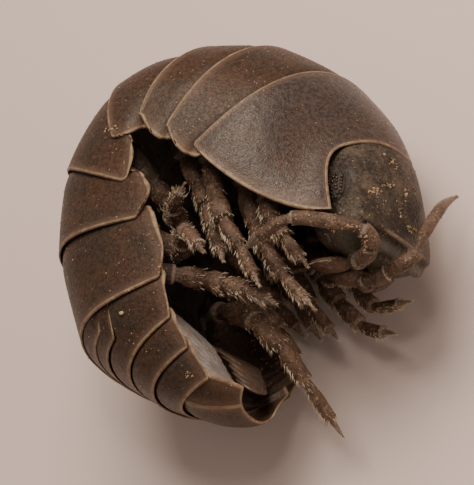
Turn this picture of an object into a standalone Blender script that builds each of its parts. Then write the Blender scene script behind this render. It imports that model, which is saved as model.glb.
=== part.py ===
"""A pill woodlouse, half rolled up and lying on its left side, at life size.

Sizes are in millimetres in the ring's own frame. The body's midplane is the XY plane and
+Z is the animal's right side. An empty carries the model to its place on the floor.
"""
import math
from collections import namedtuple

import bmesh
import bpy
from mathutils import Matrix, Vector

MM = 0.001
GAP = 0.12
FLOOR = -3.36
CENTRE_X = 0.525
CENTRE_Y = -0.298

# Rear margins of the back plates. Each has the midpoint between its lower corners, the lean
# of the back from +X, the half width, the height of the back, roll, yaw and corner sweep.
Margin = namedtuple("Margin", "x y z lean half high roll yaw sweep")
PEREON = (
    Margin(0.28, 0.87, -0.12, 46, 3.24, 3.61, 4, 0, -0.06),
    Margin(-0.17, 1.28, -0.02, 63, 3.34, 3.34, 3, 0, 0.10),
    Margin(-0.68, 1.46, 0.00, 78, 3.42, 2.94, 5, 0, 0.30),
    Margin(-1.07, 1.18, 0.00, 116, 3.46, 2.82, 5, 0, 0.36),
    Margin(-1.02, 0.43, 0.00, 162, 3.44, 3.20, 0, 0, 0.23),
    Margin(-0.89, -0.56, 0.00, 186, 3.40, 3.26, -4, 0, 0.17),
    Margin(-0.32, -2.04, -0.04, 200, 3.32, 3.18, -5, 0, 0.28),
)
PLEON = (
    Margin(0.17, -2.74, 0.02, 212, 2.97, 2.38, 3, -6, 0.04),
    Margin(0.53, -3.35, 0.11, 210, 2.56, 2.03, 4, -9, 0.00),
    Margin(0.82, -3.89, 0.20, 208, 2.06, 1.51, 4, -14, 0.04),
)
FAN_END = Margin(1.12, -4.26, 0.10, 250, 1.20, 0.52, 4, -14, 0.0)
# The lower edges of the plates behind the first bulge below their rear corners: how far, and
# how far ahead of them.
Lobe = namedtuple("Lobe", "drop reach")
LOBES = (
    Lobe(0.25, 0.50),
    Lobe(0.30, 0.45),
    Lobe(0.10, 0.40),
    Lobe(0.32, 0.80),
    Lobe(0.27, 0.50),
    Lobe(0.21, 0.60),
)
PLEON_LOBE = Lobe(0.05, 0.30)

# Cross-section of a segment.
ARCH_POWER = 0.85
SIDE_COUNT = 9
PLATE_FROM = 63.0
PLATE_THICK = 0.30
BELLY_HALF = 0.80
BELLY_HIGH = 0.46
BELLY_DOME = 0.05
STEP = 0.14
STEP_LENGTH = 0.35
ROWS = (0.0, 0.12, 0.35, 0.62, 0.85, 1.0)

# Front margin of the first plate, which wraps round the head.
NAPE_TOP = Vector((4.33, 1.50, 0.0))
NAPE_LEAN = 25.0
NAPE_HALF = 2.10
NAPE_SWEEP = 1.60
NAPE_SWEEP_POWER = 16
NAPE_HOLLOW = 0.20
NAPE_DROP = 1.43
NAPE_DEPTH = 1.55
NAPE_BODY_REACH = 38.0
NAPE_THICK = 0.22
NAPE_CORNER_TURN = 64.0

# First two rings of the pleon, which have no lower corners.
HOOP_SHARES = (0.30, 0.55)
HOOP_REACH = 48.0
HOOP_COUNT = 6
HOOP_BLEND = (53.0, 64.0)

# Tail fan.
FAN_THICK = 0.42
TELSON_REACH = 47.0
UROPOD_REACH = (51.0, 90.0)

# Head, as an outline in the midplane that shrinks towards its two flat sides.
HEAD_CENTRE = (3.80, 0.10)
HEAD_HALF = 1.60
HEAD_POWER = 4.4
HEAD_FLAT = 0.975
HEAD_SLICES = 12
HEAD_CROWN_TURN = -50.0
HEAD_BROW = (4.58, -0.72)
HEAD_BROW_BEND = 0.14
FACE_STEPS = ((-0.10, -0.13), (-0.22, -0.25), (-0.36, -0.27), (-0.50, -0.20))
HEAD_CHIN = (2.95, -0.95)
HEAD_DEPTH = 1.50
HEAD_TOP_POINTS = 6
EYE_CENTRE = (3.54, 0.20)
EYE_LENGTH = 0.70
EYE_WIDTH = 0.40
EYE_RISE = 0.11
EYE_TILT = 92.0
MOUTH_CENTRE = (2.70, -1.24, 0.0)
MOUTH_SIZE = (1.10, 0.36, 1.30)

# Limbs.
LIMB_SIDES = 8
LEG_ENDS = (0.36, 0.52, 0.64, 0.78, 0.93, 1.0)
LEG_THICK = (0.29, 0.29, 0.29, 0.28, 0.26, 0.22)
FEELER_THICK = (0.25, 0.25, 0.25, 0.25, 0.24, 0.22)
RIGHT_FEELER_ENDS = (0.11, 0.22, 0.335, 0.70, 0.90, 1.0)
LEFT_FEELER_ENDS = (0.10, 0.18, 0.29, 0.44, 0.78, 1.0)
JOINT_THIN = 0.88
ARTICLE_RINGS = ((0.0, JOINT_THIN), (0.30, 1.0), (0.80, 1.0))
LIMB_TIP = 0.09
ROOT_SHARE = 0.05
PATH_POINTS = 120
HIP_SIDE = 47.0
FIRST_HIP_SHARE = 0.74
FIRST_HIP_DROP = 0.12
HIP_GAP = 0.28
HIP_DROP = 0.35

# Where each leg bends: the end of its first article, the middle of its last ones and its tip.
RIGHT_LEGS = (
    ((1.85, -0.25, 1.75), (2.30, -0.95, 1.65), (2.80, -1.60, 1.30)),
    ((1.10, 0.05, 1.40), (2.00, -1.55, 1.30), (3.05, -2.65, 1.20)),
    ((0.60, -0.10, 1.95), (1.20, -1.10, 1.85), (1.85, -2.15, 1.80)),
    ((-0.25, 0.65, 1.50), (0.20, -0.45, 1.45), (0.60, -1.30, 1.50)),
    ((-1.10, 0.20, 1.20), (-0.75, 0.10, 1.80), (-0.30, 0.50, 2.15)),
    ((-0.80, -0.85, 1.30), (-0.20, -0.65, 2.05), (0.45, -1.30, 2.15)),
    ((-0.10, -1.60, 1.35), (0.90, -1.85, 1.15), (1.85, -2.30, 0.95)),
)
LEFT_LEGS = (
    ((2.10, -0.35, -1.50), (2.92, -1.50, -1.50), (4.10, -1.60, -1.30)),
    ((1.12, -0.25, -1.85), (2.30, -1.70, -2.05), (3.50, -2.20, -1.70)),
    ((0.50, 0.25, -1.25), (1.25, -1.30, -1.45), (2.10, -2.30, -1.50)),
    ((-0.35, 0.50, -1.45), (0.40, -0.80, -2.00), (1.10, -1.90, -2.30)),
    ((-1.10, 0.30, -1.45), (-0.45, -0.60, -2.20), (0.40, -1.60, -2.70)),
    ((-0.80, -0.90, -1.05), (0.25, -1.65, -1.30), (0.90, -2.70, -2.10)),
    ((-0.60, -1.70, -0.45), (0.95, -2.50, -0.30), (2.10, -4.50, -2.20)),
)
RIGHT_ANTENNA = (
    (3.80, -1.15, 0.70), (3.90, -1.44, 0.95), (4.33, -1.38, 1.20), (4.50, -1.12, 1.50),
    (4.30, -0.95, 1.85), (3.75, -0.90, 2.20), (2.95, -0.84, 2.45), (2.30, -1.05, 2.42),
    (1.60, -1.44, 2.30),
)
LEFT_ANTENNA = (
    (3.82, -1.20, -0.70), (3.55, -1.50, -0.35), (3.60, -1.58, 0.05), (4.15, -1.43, 0.05),
    (4.82, -1.13, 0.10), (4.96, -0.62, -0.05), (4.95, 0.00, -0.45), (4.84, 0.67, -1.10),
    (4.69, 1.20, -1.90),
)

# Gill covers under the pleon.
COVER_MID = 0.35
COVER_HALF = 0.24
COVER_LOW = 0.02
COVER_HIGH = 0.38
COVER_COUNT = 5
COVER_NOTCH = 0.07
COVER_SIDES = 12

COLOURS = {
    "plate": ((0.085, 0.075, 0.068), 0.42),
    "head": ((0.060, 0.055, 0.045), 0.50),
    "eye": ((0.012, 0.012, 0.012), 0.25),
    "limb": ((0.160, 0.095, 0.055), 0.55),
    "gill": ((0.230, 0.190, 0.170), 0.40),
}


def clear_scene():
    for item in list(bpy.data.objects):
        bpy.data.objects.remove(item)


def material(name, kind):
    colour, rough = COLOURS[kind]
    made = bpy.data.materials.new(name)
    made.use_nodes = True
    shader = made.node_tree.nodes["Principled BSDF"]
    shader.inputs["Base Color"].default_value = (*colour, 1.0)
    shader.inputs["Roughness"].default_value = rough
    shader.inputs["Metallic"].default_value = 0.0
    return made


def make_object(name, shape, kind, carrier):
    """Turn a bmesh in ring millimetres into one named object."""
    bmesh.ops.triangulate(shape, faces=shape.faces)
    bmesh.ops.recalc_face_normals(shape, faces=shape.faces)
    for vertex in shape.verts:
        vertex.co.z = max(vertex.co.z, FLOOR)
        vertex.co *= MM
    mesh = bpy.data.meshes.new(name)
    shape.to_mesh(mesh)
    shape.free()
    mesh.shade_smooth()
    mesh.set_sharp_from_angle(angle=math.radians(40))
    mesh.materials.append(material(name, kind))
    made = bpy.data.objects.new(name, mesh)
    made.parent = carrier
    bpy.context.collection.objects.link(made)
    return made


def shell(outer, inner):
    """A closed body between two grids of points with the same rows and columns."""
    shape = bmesh.new()
    tops = [[shape.verts.new(point) for point in row] for row in outer]
    lows = [[shape.verts.new(point) for point in row] for row in inner]
    rows, columns = len(outer), len(outer[0])
    for r in range(rows - 1):
        for c in range(columns - 1):
            shape.faces.new((tops[r][c], tops[r][c + 1], tops[r + 1][c + 1], tops[r + 1][c]))
            shape.faces.new((lows[r][c], lows[r + 1][c], lows[r + 1][c + 1], lows[r][c + 1]))
        for c in (0, columns - 1):
            shape.faces.new((tops[r][c], tops[r + 1][c], lows[r + 1][c], lows[r][c]))
    for r in (0, rows - 1):
        for c in range(columns - 1):
            shape.faces.new((tops[r][c], lows[r][c], lows[r][c + 1], tops[r][c + 1]))
    return shape


def loft(rings):
    """A closed body through rings of points, with a flat cap at each end."""
    shape = bmesh.new()
    made = [[shape.verts.new(point) for point in ring] for ring in rings]
    count = len(rings[0])
    for low, high in zip(made, made[1:]):
        for i in range(count):
            k = (i + 1) % count
            shape.faces.new((low[i], low[k], high[k], high[i]))
    shape.faces.new(made[0])
    shape.faces.new(made[-1])
    return shape


def between(first, last, share):
    """The margin that lies a share of the way from one margin to another."""
    return Margin(*(a + (b - a) * share for a, b in zip(first, last)))


def axes(margin):
    """Directions of the back, the tail and the right side at a margin."""
    lean = math.radians(margin.lean)
    back = Vector((math.cos(lean), math.sin(lean), 0))
    tail = Vector((-math.sin(lean), math.cos(lean), 0))
    yaw = Matrix.Rotation(math.radians(margin.yaw), 3, back)
    tail = yaw @ tail
    roll = Matrix.Rotation(math.radians(margin.roll), 3, tail)
    return roll @ back, tail, roll @ yaw @ Vector((0, 0, 1))


def at(margin, right, high, tailward=0.0):
    """A point beside, above and behind the midpoint of a margin's corners."""
    back, tail, side = axes(margin)
    return Vector((margin.x, margin.y, margin.z)) + back * high + side * right + tail * tailward


def arch(angle):
    """How far out and how high the arch stands at an angle from the back."""
    turn = math.radians(angle)
    out = math.copysign(abs(math.sin(turn)) ** ARCH_POWER, angle)
    return out, max(math.cos(turn), 0.0) ** ARCH_POWER


def sweep(margin, angle):
    return margin.sweep * math.sin(math.radians(angle)) ** 4


def outer_point(margin, angle, inset=0.0, drop=0.0, tailward=0.0):
    out, high = arch(angle)
    lower = drop * abs(math.sin(math.radians(angle))) ** 8
    return at(margin, (margin.half - inset) * out, (margin.high - inset) * high - lower,
              sweep(margin, angle) + tailward)


def inner_point(margin, angle, drop=0.0, tailward=0.0):
    """The belly between the legs, and the inner face of the side plates beyond it."""
    out, high = arch(angle)
    back = sweep(margin, angle) + tailward
    if abs(angle) > PLATE_FROM:
        lower = drop * abs(math.sin(math.radians(angle))) ** 8
        right = math.copysign(margin.half * abs(out) - PLATE_THICK - STEP / 2, out)
        return at(margin, right, margin.high * high - lower, back)
    share = angle / PLATE_FROM
    rise = BELLY_HIGH + BELLY_DOME * (1 - share ** 2)
    return at(margin, margin.half * BELLY_HALF * share, margin.high * rise, back)


def side_angles():
    """Angles across a plate, from its left corner to its right one, closer at the corners."""
    turns = range(-SIDE_COUNT, SIDE_COUNT + 1)
    return [90 * math.sin(math.radians(90 * i / SIDE_COUNT)) for i in turns]


def inset_at(share):
    """How deep a plate's front lies under the margin before it."""
    return STEP * max(1 - share / STEP_LENGTH, 0.0) ** 2


def lobe_drop(lobe, front, rear, share):
    """How far a plate's lower edge lies below the line of its corners."""
    length = (Vector(front[:3]) - Vector(rear[:3])).length
    ahead = min((1 - share) * length / lobe.reach, 1.0)
    return lobe.drop * (1 - (1 - ahead) ** 2)


def segment(front, rear, lobe):
    """One back plate with the body under it, from behind one margin to its own."""
    outer, inner = [], []
    for share in ROWS:
        margin = between(front, rear, share)
        lower = lobe_drop(lobe, front, rear, share)
        shift = GAP * (1 - share)
        outer.append([outer_point(margin, a, inset_at(share), lower, shift) for a in side_angles()])
        inner.append([inner_point(margin, a, lower, shift) for a in side_angles()])
    return shell(outer, inner)


def smooth_step(low, high, value):
    share = min(max((value - low) / (high - low), 0.0), 1.0)
    return share * share * (3 - 2 * share)


def nape_axes():
    lean = math.radians(NAPE_LEAN)
    return Vector((math.cos(lean), math.sin(lean), 0)), Vector((math.sin(lean), -math.cos(lean), 0))


def nape_point(angle, deeper=0.0, narrower=0.0):
    """A point of the first plate's front margin, or under it."""
    back, ahead = nape_axes()
    out = abs(arch(angle)[0])
    forward = NAPE_SWEEP * out ** NAPE_SWEEP_POWER - NAPE_HOLLOW * math.sin(math.pi * out)
    down = NAPE_DROP * out ** 2 + deeper
    right = math.copysign(NAPE_HALF * out - narrower, angle) if angle else 0.0
    return NAPE_TOP + ahead * forward - back * down + Vector((0, 0, right))


def bend(start, lead_in, lead_out, end, share):
    """A cubic curve that leaves and arrives along the two leads."""
    reach = (end - start).length / 3
    a, b = start - lead_in * reach, end + lead_out * reach
    back = 1 - share
    return (start * back ** 3 + a * 3 * back ** 2 * share + b * 3 * back * share ** 2
            + end * share ** 3)


def nape_lead(angle):
    """The way forward at the first plate's front margin, which levels out at its corners."""
    turn = math.radians(NAPE_LEAN - 90 + NAPE_CORNER_TURN * abs(arch(angle)[0]) ** 3)
    return Vector((math.cos(turn), math.sin(turn), 0))


def first_segment():
    """The large first plate, which reaches forward beside the head."""
    rear = PEREON[0]
    lead = -axes(rear)[1]
    outer, inner = [], []
    for share in ROWS:
        tops, lows = [], []
        for angle in side_angles():
            top = bend(nape_point(angle), nape_lead(angle), lead, outer_point(rear, angle), share)
            deeper, narrower = nape_depth(angle)
            front = nape_point(angle, deeper, narrower)
            low = bend(front, nape_lead(angle), lead, inner_point(rear, angle), share)
            tops.append(top)
            lows.append(low)
        outer.append(tops)
        inner.append(lows)
    return shell(outer, inner)


def nape_depth(angle):
    """How thick the first segment is at its front, and how far in its inner face lies."""
    aside = smooth_step(NAPE_BODY_REACH / 2, PLATE_FROM, abs(angle))
    body = NAPE_DEPTH * max(1 - abs(angle) / NAPE_BODY_REACH, 0.0) ** 0.5
    return max(body, NAPE_THICK * (1 - aside)), NAPE_THICK * aside


def hoop_margin(share):
    return between(PEREON[-1], PLEON[0], share)


def hoop(front, rear):
    """One of the narrow rings behind the last large plate."""
    angles = [HOOP_REACH * i / HOOP_COUNT for i in range(-HOOP_COUNT, HOOP_COUNT + 1)]
    outer, inner = [], []
    for share in (0.0, 0.5, 1.0):
        margin = between(front, rear, share)
        shift = GAP * (1 - share)
        inset = STEP / 2 * (1 - share)
        outer.append([outer_point(margin, a, inset, 0, shift) for a in angles])
        inner.append([inner_point(margin, a, 0, shift) for a in angles])
    return shell(outer, inner)


def third_pleonite():
    """The first tail plate with lower corners, which reach forward past the two hoops."""
    hoops = hoop_margin(HOOP_SHARES[-1])
    outer, inner = [], []
    for share in ROWS:
        tops, lows = [], []
        for angle in side_angles():
            aside = smooth_step(*HOOP_BLEND, abs(angle))
            front = between(hoops, PEREON[-1], aside)
            margin = between(front, PLEON[0], share)
            shift = GAP * (1 - share)
            lower = lobe_drop(PLEON_LOBE, PEREON[-1], PLEON[0], share)
            tops.append(outer_point(margin, angle, inset_at(share), lower, shift))
            lows.append(inner_point(margin, angle, lower, shift))
        outer.append(tops)
        inner.append(lows)
    return shell(outer, inner)


def fan_plate(first_angle, last_angle, count):
    """A plate of the tail fan between two angles from the back."""
    outer, inner = [], []
    for share in (0.0, 0.15, 0.4, 0.7, 0.9, 1.0):
        margin = between(PLEON[-1], FAN_END, share)
        shift = GAP * (1 - share)
        inset = STEP * (1 - share) ** 2
        tops, lows = [], []
        for i in range(count + 1):
            angle = first_angle + (last_angle - first_angle) * i / count
            tops.append(outer_point(margin, angle, inset, 0, shift))
            lows.append(outer_point(margin, angle, min(FAN_THICK, margin.high * 0.8), 0, shift))
        outer.append(tops)
        inner.append(lows)
    return shell(outer, inner)


def through(points, count):
    """Evenly numbered points on a smooth curve through a few given ones."""
    points = [Vector(p) for p in points]
    ends = [points[0] * 2 - points[1]] + points + [points[-1] * 2 - points[-2]]
    spans = len(points) - 1
    made = []
    for i in range(count):
        place = spans * i / (count - 1)
        k = min(int(place), spans - 1)
        t = place - k
        a, b, c, d = ends[k:k + 4]
        made.append(0.5 * (b * 2 + (c - a) * t + (a * 2 - b * 5 + c * 4 - d) * t * t
                           + (b * 3 - a - c * 3 + d) * t ** 3))
    return made


def tube(path, radii):
    """A closed round body along a path, without twist."""
    side = None
    rings = []
    for i, (point, radius) in enumerate(zip(path, radii)):
        ahead = (path[min(i + 1, len(path) - 1)] - path[max(i - 1, 0)]).normalized()
        if side is None:
            side = ahead.orthogonal()
        side = (side - ahead * side.dot(ahead)).normalized()
        other = ahead.cross(side)
        turns = [2 * math.pi * k / LIMB_SIDES for k in range(LIMB_SIDES)]
        rings.append([point + (side * math.cos(t) + other * math.sin(t)) * radius for t in turns])
    return loft(rings)


def along(path, share):
    """The point a share of the way along a path."""
    steps = [(b - a).length for a, b in zip(path, path[1:])]
    left = share * sum(steps)
    for start, end, step in zip(path, path[1:], steps):
        if left <= step:
            return start.lerp(end, left / step)
        left -= step
    return path[-1]


def limb(route, ends, thick):
    """A limb of articles, each one thinner at its joints, and a short tip."""
    path = through(route, PATH_POINTS)
    points, radii = [path[0]], [thick[0]]
    start = ROOT_SHARE
    for end, radius in zip(ends, thick):
        for place, size in ARTICLE_RINGS:
            points.append(along(path, start + (end - start) * place))
            radii.append(radius * size)
        start = end
    points.append(path[-1])
    radii.append(LIMB_TIP)
    return tube(points, radii)


def hip(index, side):
    """Where a leg leaves the belly, and the way it leaves."""
    angle = HIP_SIDE * side
    if index == 0:
        low = bend(nape_point(angle, *nape_depth(angle)), nape_lead(angle), -axes(PEREON[0])[1],
                   inner_point(PEREON[0], angle), FIRST_HIP_SHARE)
        lean = (NAPE_LEAN + PEREON[0].lean) / 2
        back = Vector((math.cos(math.radians(lean)), math.sin(math.radians(lean)), 0))
        return low - back * FIRST_HIP_DROP, back
    margin = between(PEREON[index - 1], PEREON[index], 0.5)
    return inner_point(margin, angle), axes(margin)[0]


def leg(index, side, bends):
    start, back = hip(index, side)
    start -= back * HIP_GAP
    return limb([start, start - back * HIP_DROP, *bends], LEG_ENDS, LEG_THICK)


def head_outline(aside):
    """The head's outline at a share of its half width, from the nape over the brow to the chin."""
    back, ahead = nape_axes()
    out = HEAD_HALF * abs(aside) / NAPE_HALF
    angle = math.degrees(math.asin(out ** (1 / ARCH_POWER)))
    nape = nape_point(angle)
    nape.z = 0
    top = nape + ahead * GAP - back * STEP / 2
    brow = Vector((*HEAD_BROW, 0)) - Vector((HEAD_BROW_BEND * aside ** 2, 0, 0))
    chin = Vector((*HEAD_CHIN, 0))
    low = top - back * HEAD_DEPTH
    count = HEAD_TOP_POINTS
    turn = math.radians(HEAD_CROWN_TURN)
    lead = Vector((-math.cos(turn), -math.sin(turn), 0))
    crown = [bend(top, lead, Vector((0, 1, 0)), brow, i / count) for i in range(count + 1)]
    face = [brow + Vector((*step, 0)) for step in FACE_STEPS] + [chin]
    return crown + face + [chin.lerp(low, 0.5) - Vector((0.08, 0, 0)), low]


def head():
    centre = Vector((*HEAD_CENTRE, 0))
    rings = []
    for i in range(HEAD_SLICES + 1):
        turn = math.pi * (i / HEAD_SLICES - 0.5)
        aside = math.sin(turn) * HEAD_FLAT
        size = (1 - abs(aside) ** HEAD_POWER) ** (1 / HEAD_POWER)
        ring = [centre + (p - centre) * size for p in head_outline(aside)]
        rings.append([p + Vector((0, 0, aside * HEAD_HALF)) for p in ring])
    return loft(rings)


def eye(side):
    """A low oval dome on the flat side of the head."""
    centre = Vector((*EYE_CENTRE, 0))
    lean = math.radians(EYE_TILT)
    along = Vector((math.cos(lean), math.sin(lean), 0)) * EYE_LENGTH / 2
    across = Vector((-math.sin(lean), math.cos(lean), 0)) * EYE_WIDTH / 2
    base = HEAD_HALF * HEAD_FLAT + GAP / 2
    rings = []
    for rise, size in ((0.0, 0.92), (0.3, 1.0), (0.7, 0.80), (1.0, 0.40)):
        level = Vector((0, 0, side * (base + EYE_RISE * rise)))
        turns = [2 * math.pi * k / 12 for k in range(12)]
        rings.append([centre + level + (along * math.cos(t) + across * math.sin(t)) * size
                      for t in turns])
    return loft(rings)


def rounded_block(centre, size, slices, sides, power):
    """A block with full, rounded faces, sliced along its width."""
    rings = []
    for i in range(slices + 1):
        aside = math.sin(math.pi * (i / slices - 0.5)) * 0.97
        shrink = (1 - abs(aside) ** power) ** (1 / power)
        ring = []
        for k in range(sides):
            turn = 2 * math.pi * k / sides
            x = math.copysign(abs(math.cos(turn)) ** (2 / power), math.cos(turn))
            y = math.copysign(abs(math.sin(turn)) ** (2 / power), math.sin(turn))
            ring.append(Vector(centre) + Vector((x * size[0] / 2 * shrink,
                                                 y * size[1] / 2 * shrink, aside * size[2] / 2)))
        rings.append(ring)
    return loft(rings)


def gill_cover(side):
    """Five overlapping covers on one side of the pleon's belly."""
    rings = []
    for i in range(2 * COVER_COUNT + 1):
        share = i / (2 * COVER_COUNT)
        place = share * len(PLEON)
        k = min(int(place), len(PLEON) - 1)
        run = (PEREON[-1], *PLEON)
        margin = between(run[k], run[k + 1], place - k)
        notch = COVER_NOTCH if i % 2 == 0 else 0.0
        end = 0.7 + 0.3 * math.sin(math.pi * min(max(share, 0.05), 0.95))
        half = margin.half * COVER_HALF * end
        low = margin.high * COVER_LOW + notch
        high = margin.high * COVER_HIGH
        middle, rise = (low + high) / 2, (high - low) / 2 * end
        ring = []
        for n in range(COVER_SIDES):
            turn = 2 * math.pi * n / COVER_SIDES
            ring.append(at(margin, side * margin.half * COVER_MID + half * math.cos(turn),
                           middle + rise * math.sin(turn), GAP))
        rings.append(ring)
    return loft(rings)


def build():
    clear_scene()
    carrier = bpy.data.objects.new("woodlouse", None)
    carrier.location = (-CENTRE_X * MM, -CENTRE_Y * MM, -FLOOR * MM)
    bpy.context.collection.objects.link(carrier)

    make_object("pereonite_1", first_segment(), "plate", carrier)
    for i in range(1, len(PEREON)):
        body = segment(PEREON[i - 1], PEREON[i], LOBES[i - 1])
        make_object(f"pereonite_{i + 1}", body, "plate", carrier)
    first, second = (hoop_margin(share) for share in HOOP_SHARES)
    make_object("pleonite_1", hoop(PEREON[-1], first), "plate", carrier)
    make_object("pleonite_2", hoop(first, second), "plate", carrier)
    make_object("pleonite_3", third_pleonite(), "plate", carrier)
    make_object("pleonite_4", segment(PLEON[0], PLEON[1], PLEON_LOBE), "plate", carrier)
    make_object("pleonite_5", segment(PLEON[1], PLEON[2], PLEON_LOBE), "plate", carrier)
    make_object("telson", fan_plate(-TELSON_REACH, TELSON_REACH, 8), "plate", carrier)
    make_object("head", head(), "head", carrier)
    make_object("mouthparts", rounded_block(MOUTH_CENTRE, MOUTH_SIZE, 8, 12, 3.0), "limb", carrier)
    limbs = (("right", 1, RIGHT_LEGS, RIGHT_ANTENNA, RIGHT_FEELER_ENDS),
             ("left", -1, LEFT_LEGS, LEFT_ANTENNA, LEFT_FEELER_ENDS))
    for name, side, legs, feeler, ends in limbs:
        plate = fan_plate(side * UROPOD_REACH[0], side * UROPOD_REACH[1], 4)
        make_object(f"uropod_{name}", plate, "plate", carrier)
        make_object(f"pleopods_{name}", gill_cover(side), "gill", carrier)
        make_object(f"eye_{name}", eye(side), "eye", carrier)
        make_object(f"antenna_{name}", limb(feeler, ends, FEELER_THICK), "limb", carrier)
        for i, bends in enumerate(legs):
            make_object(f"leg_{name}_{i + 1}", leg(i, side, bends), "limb", carrier)


build()
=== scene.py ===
"""Looks of the pill woodlouse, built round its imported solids.

Sizes are in millimetres in the ring's own frame, as in the part's source. The body's
midplane is the XY plane and +Z is the animal's right side.
"""
import math
import random
from collections import namedtuple

import bpy
import numpy as np
from mathutils import Matrix, Vector
from mathutils.bvhtree import BVHTree

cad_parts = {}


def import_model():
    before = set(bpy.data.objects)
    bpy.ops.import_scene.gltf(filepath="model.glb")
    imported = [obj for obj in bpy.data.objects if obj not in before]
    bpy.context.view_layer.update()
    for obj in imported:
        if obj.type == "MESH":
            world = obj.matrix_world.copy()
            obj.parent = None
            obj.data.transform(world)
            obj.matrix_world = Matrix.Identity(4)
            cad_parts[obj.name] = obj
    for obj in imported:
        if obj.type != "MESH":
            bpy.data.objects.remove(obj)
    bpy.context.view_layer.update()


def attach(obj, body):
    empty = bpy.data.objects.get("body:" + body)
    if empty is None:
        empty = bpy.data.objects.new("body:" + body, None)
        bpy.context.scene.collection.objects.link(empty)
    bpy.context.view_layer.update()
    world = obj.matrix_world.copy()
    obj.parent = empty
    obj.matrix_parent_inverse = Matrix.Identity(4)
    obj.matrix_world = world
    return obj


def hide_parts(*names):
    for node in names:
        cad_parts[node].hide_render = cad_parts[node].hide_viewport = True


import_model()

# Where the ring's frame stands in the row's frame.
MM = 0.001
FLOOR = -3.36
CENTRE_X = 0.525
CENTRE_Y = -0.298
ORIGIN = np.array((CENTRE_X, CENTRE_Y, FLOOR))

# The two sides, and the way of each along Z.
SIDES = (("right", 1), ("left", -1))

# Camera, from the pose that fits the photo: its right, its up and the way towards it.
VIEW_RIGHT = Vector((0.858, 0.101, -0.504))
VIEW_UP = Vector((0.101, 0.928, 0.358))
VIEW_BACK = Vector((0.504, -0.358, 0.786))
PIXEL = 0.0235
RING_PIXEL = (240, 235)
FRAME_SIZE = (474, 485)
LENS = 600.0
SENSOR = 36.0
CAMERA_AWAY = LENS / SENSOR * FRAME_SIZE[1] * PIXEL

# Rear margins of the back plates, as in the part's source.
Margin = namedtuple("Margin", "x y z lean half high roll yaw sweep")
PEREON = (
    Margin(0.28, 0.87, -0.12, 46, 3.24, 3.61, 4, 0, -0.06),
    Margin(-0.17, 1.28, -0.02, 63, 3.34, 3.34, 3, 0, 0.10),
    Margin(-0.68, 1.46, 0.00, 78, 3.42, 2.94, 5, 0, 0.30),
    Margin(-1.07, 1.18, 0.00, 116, 3.46, 2.82, 5, 0, 0.36),
    Margin(-1.02, 0.43, 0.00, 162, 3.44, 3.20, 0, 0, 0.23),
    Margin(-0.89, -0.56, 0.00, 186, 3.40, 3.26, -4, 0, 0.17),
    Margin(-0.32, -2.04, -0.04, 200, 3.32, 3.18, -5, 0, 0.28),
)
PLEON = (
    Margin(0.17, -2.74, 0.02, 212, 2.97, 2.38, 3, -6, 0.04),
    Margin(0.53, -3.35, 0.11, 210, 2.56, 2.03, 4, -9, 0.00),
    Margin(0.82, -3.89, 0.20, 208, 2.06, 1.51, 4, -14, 0.04),
)
FAN_END = Margin(1.12, -4.26, 0.10, 250, 1.20, 0.52, 4, -14, 0.0)
# The lower edges of the plates behind the first bulge below their rear corners: how far down
# and forwards, how far ahead of them, and over which share of the plate they round off in front.
Lobe = namedtuple("Lobe", "drop fore reach rise")
LOBES = (
    Lobe(0.25, 0.00, 0.50, 0.15),
    Lobe(0.30, 0.00, 0.45, 0.15),
    Lobe(0.20, 0.00, 0.40, 0.06),
    Lobe(0.30, 0.36, 0.80, 0.10),
    Lobe(0.42, 0.18, 0.60, 0.08),
    Lobe(0.27, 0.12, 0.60, 0.10),
)
PLEON_LOBE = Lobe(0.05, 0.00, 0.30, 0.10)

# The two hoops at the front of the tail, and the angles at which their margins run in under the
# last large plate. Below them is the reach in degrees of the tail's tip and side plates.
HOOP_SHARES = (0.30, 0.55)
HOOP_REACH = 66.0
HOOP_BLENDS = ((46.0, 57.0), (53.0, 64.0))
HOOP_DIVE = 0.14
TELSON_REACH = 47.0
UROPOD_REACH = (49.0, 90.0)

ARCH_POWER = 0.85
PLATE_FROM = 63.0
BELLY_HALF = 0.80
BELLY_HIGH = 0.46
BELLY_DOME = 0.05

NAPE_TOP = np.array((4.33, 1.50, 0.0))
NAPE_LEAN = 25.0
NAPE_HALF = 2.10
NAPE_SWEEP = 1.60
NAPE_SWEEP_POWER = 16
NAPE_HOLLOW = 0.20
NAPE_DROP = 1.43
NAPE_CORNER_TURN = 64.0

# Plates of the render: how deep each starts under the one ahead, and how far it runs under it.
STEP = 0.10
STEPS = (0.10, 0.14, 0.24, 0.12, 0.10, 0.10)
STEP_LENGTH = 0.30
HOOP_STEP = 0.6
FAN_STEP = 0.8
TUCK = 0.10
TUCK_DEEPER = 0.02
HOOP_TUCK = TUCK * 4
THIRD_TUCK = TUCK * 2
FAN_TUCK = TUCK * 3
PLATE_RUN = 2.4
HOOP_RUN = 0.5
THIRD_RUN = 1.4
FAN_RUN = 0.6
LIP = 0.05
# Their thickness, their rims and their rounded corners.
SHELL_THICK = 0.11
HOOP_THICK = 0.08
TAIL_THICK = 0.09
RIM_THICK = 0.45
RIM_REACH = 0.30
SIDE_RIM = 0.55
FRONT_RIM = 2.0
CORNER_ROUNDS = (0.10, 0.12, 0.16, 0.14, 0.16, 0.16, 0.12)
TAIL_ROUND = 0.06
BEAD_HIGH = 0.006
BEAD_WIDE = 0.035
BEAD_AT = BEAD_WIDE * 0.6
GROOVE_DEEP = 0.003
GROOVE_WIDE = BEAD_WIDE * 0.8
GROOVE_AT = 0.09
BORDER = 0.45
# Powers of how far aside a point is: of the lobes' drop and of the margins' sweep.
DROP_POWER = 8
SWEEP_POWER = 4
PLATE_ROWS = 64
PLATE_COLUMNS = 141
ROW_CROWDING = 1.6
HOOP_COLUMNS = 101
TIP_COLUMNS = 61
SIDE_COLUMNS = 41
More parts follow.
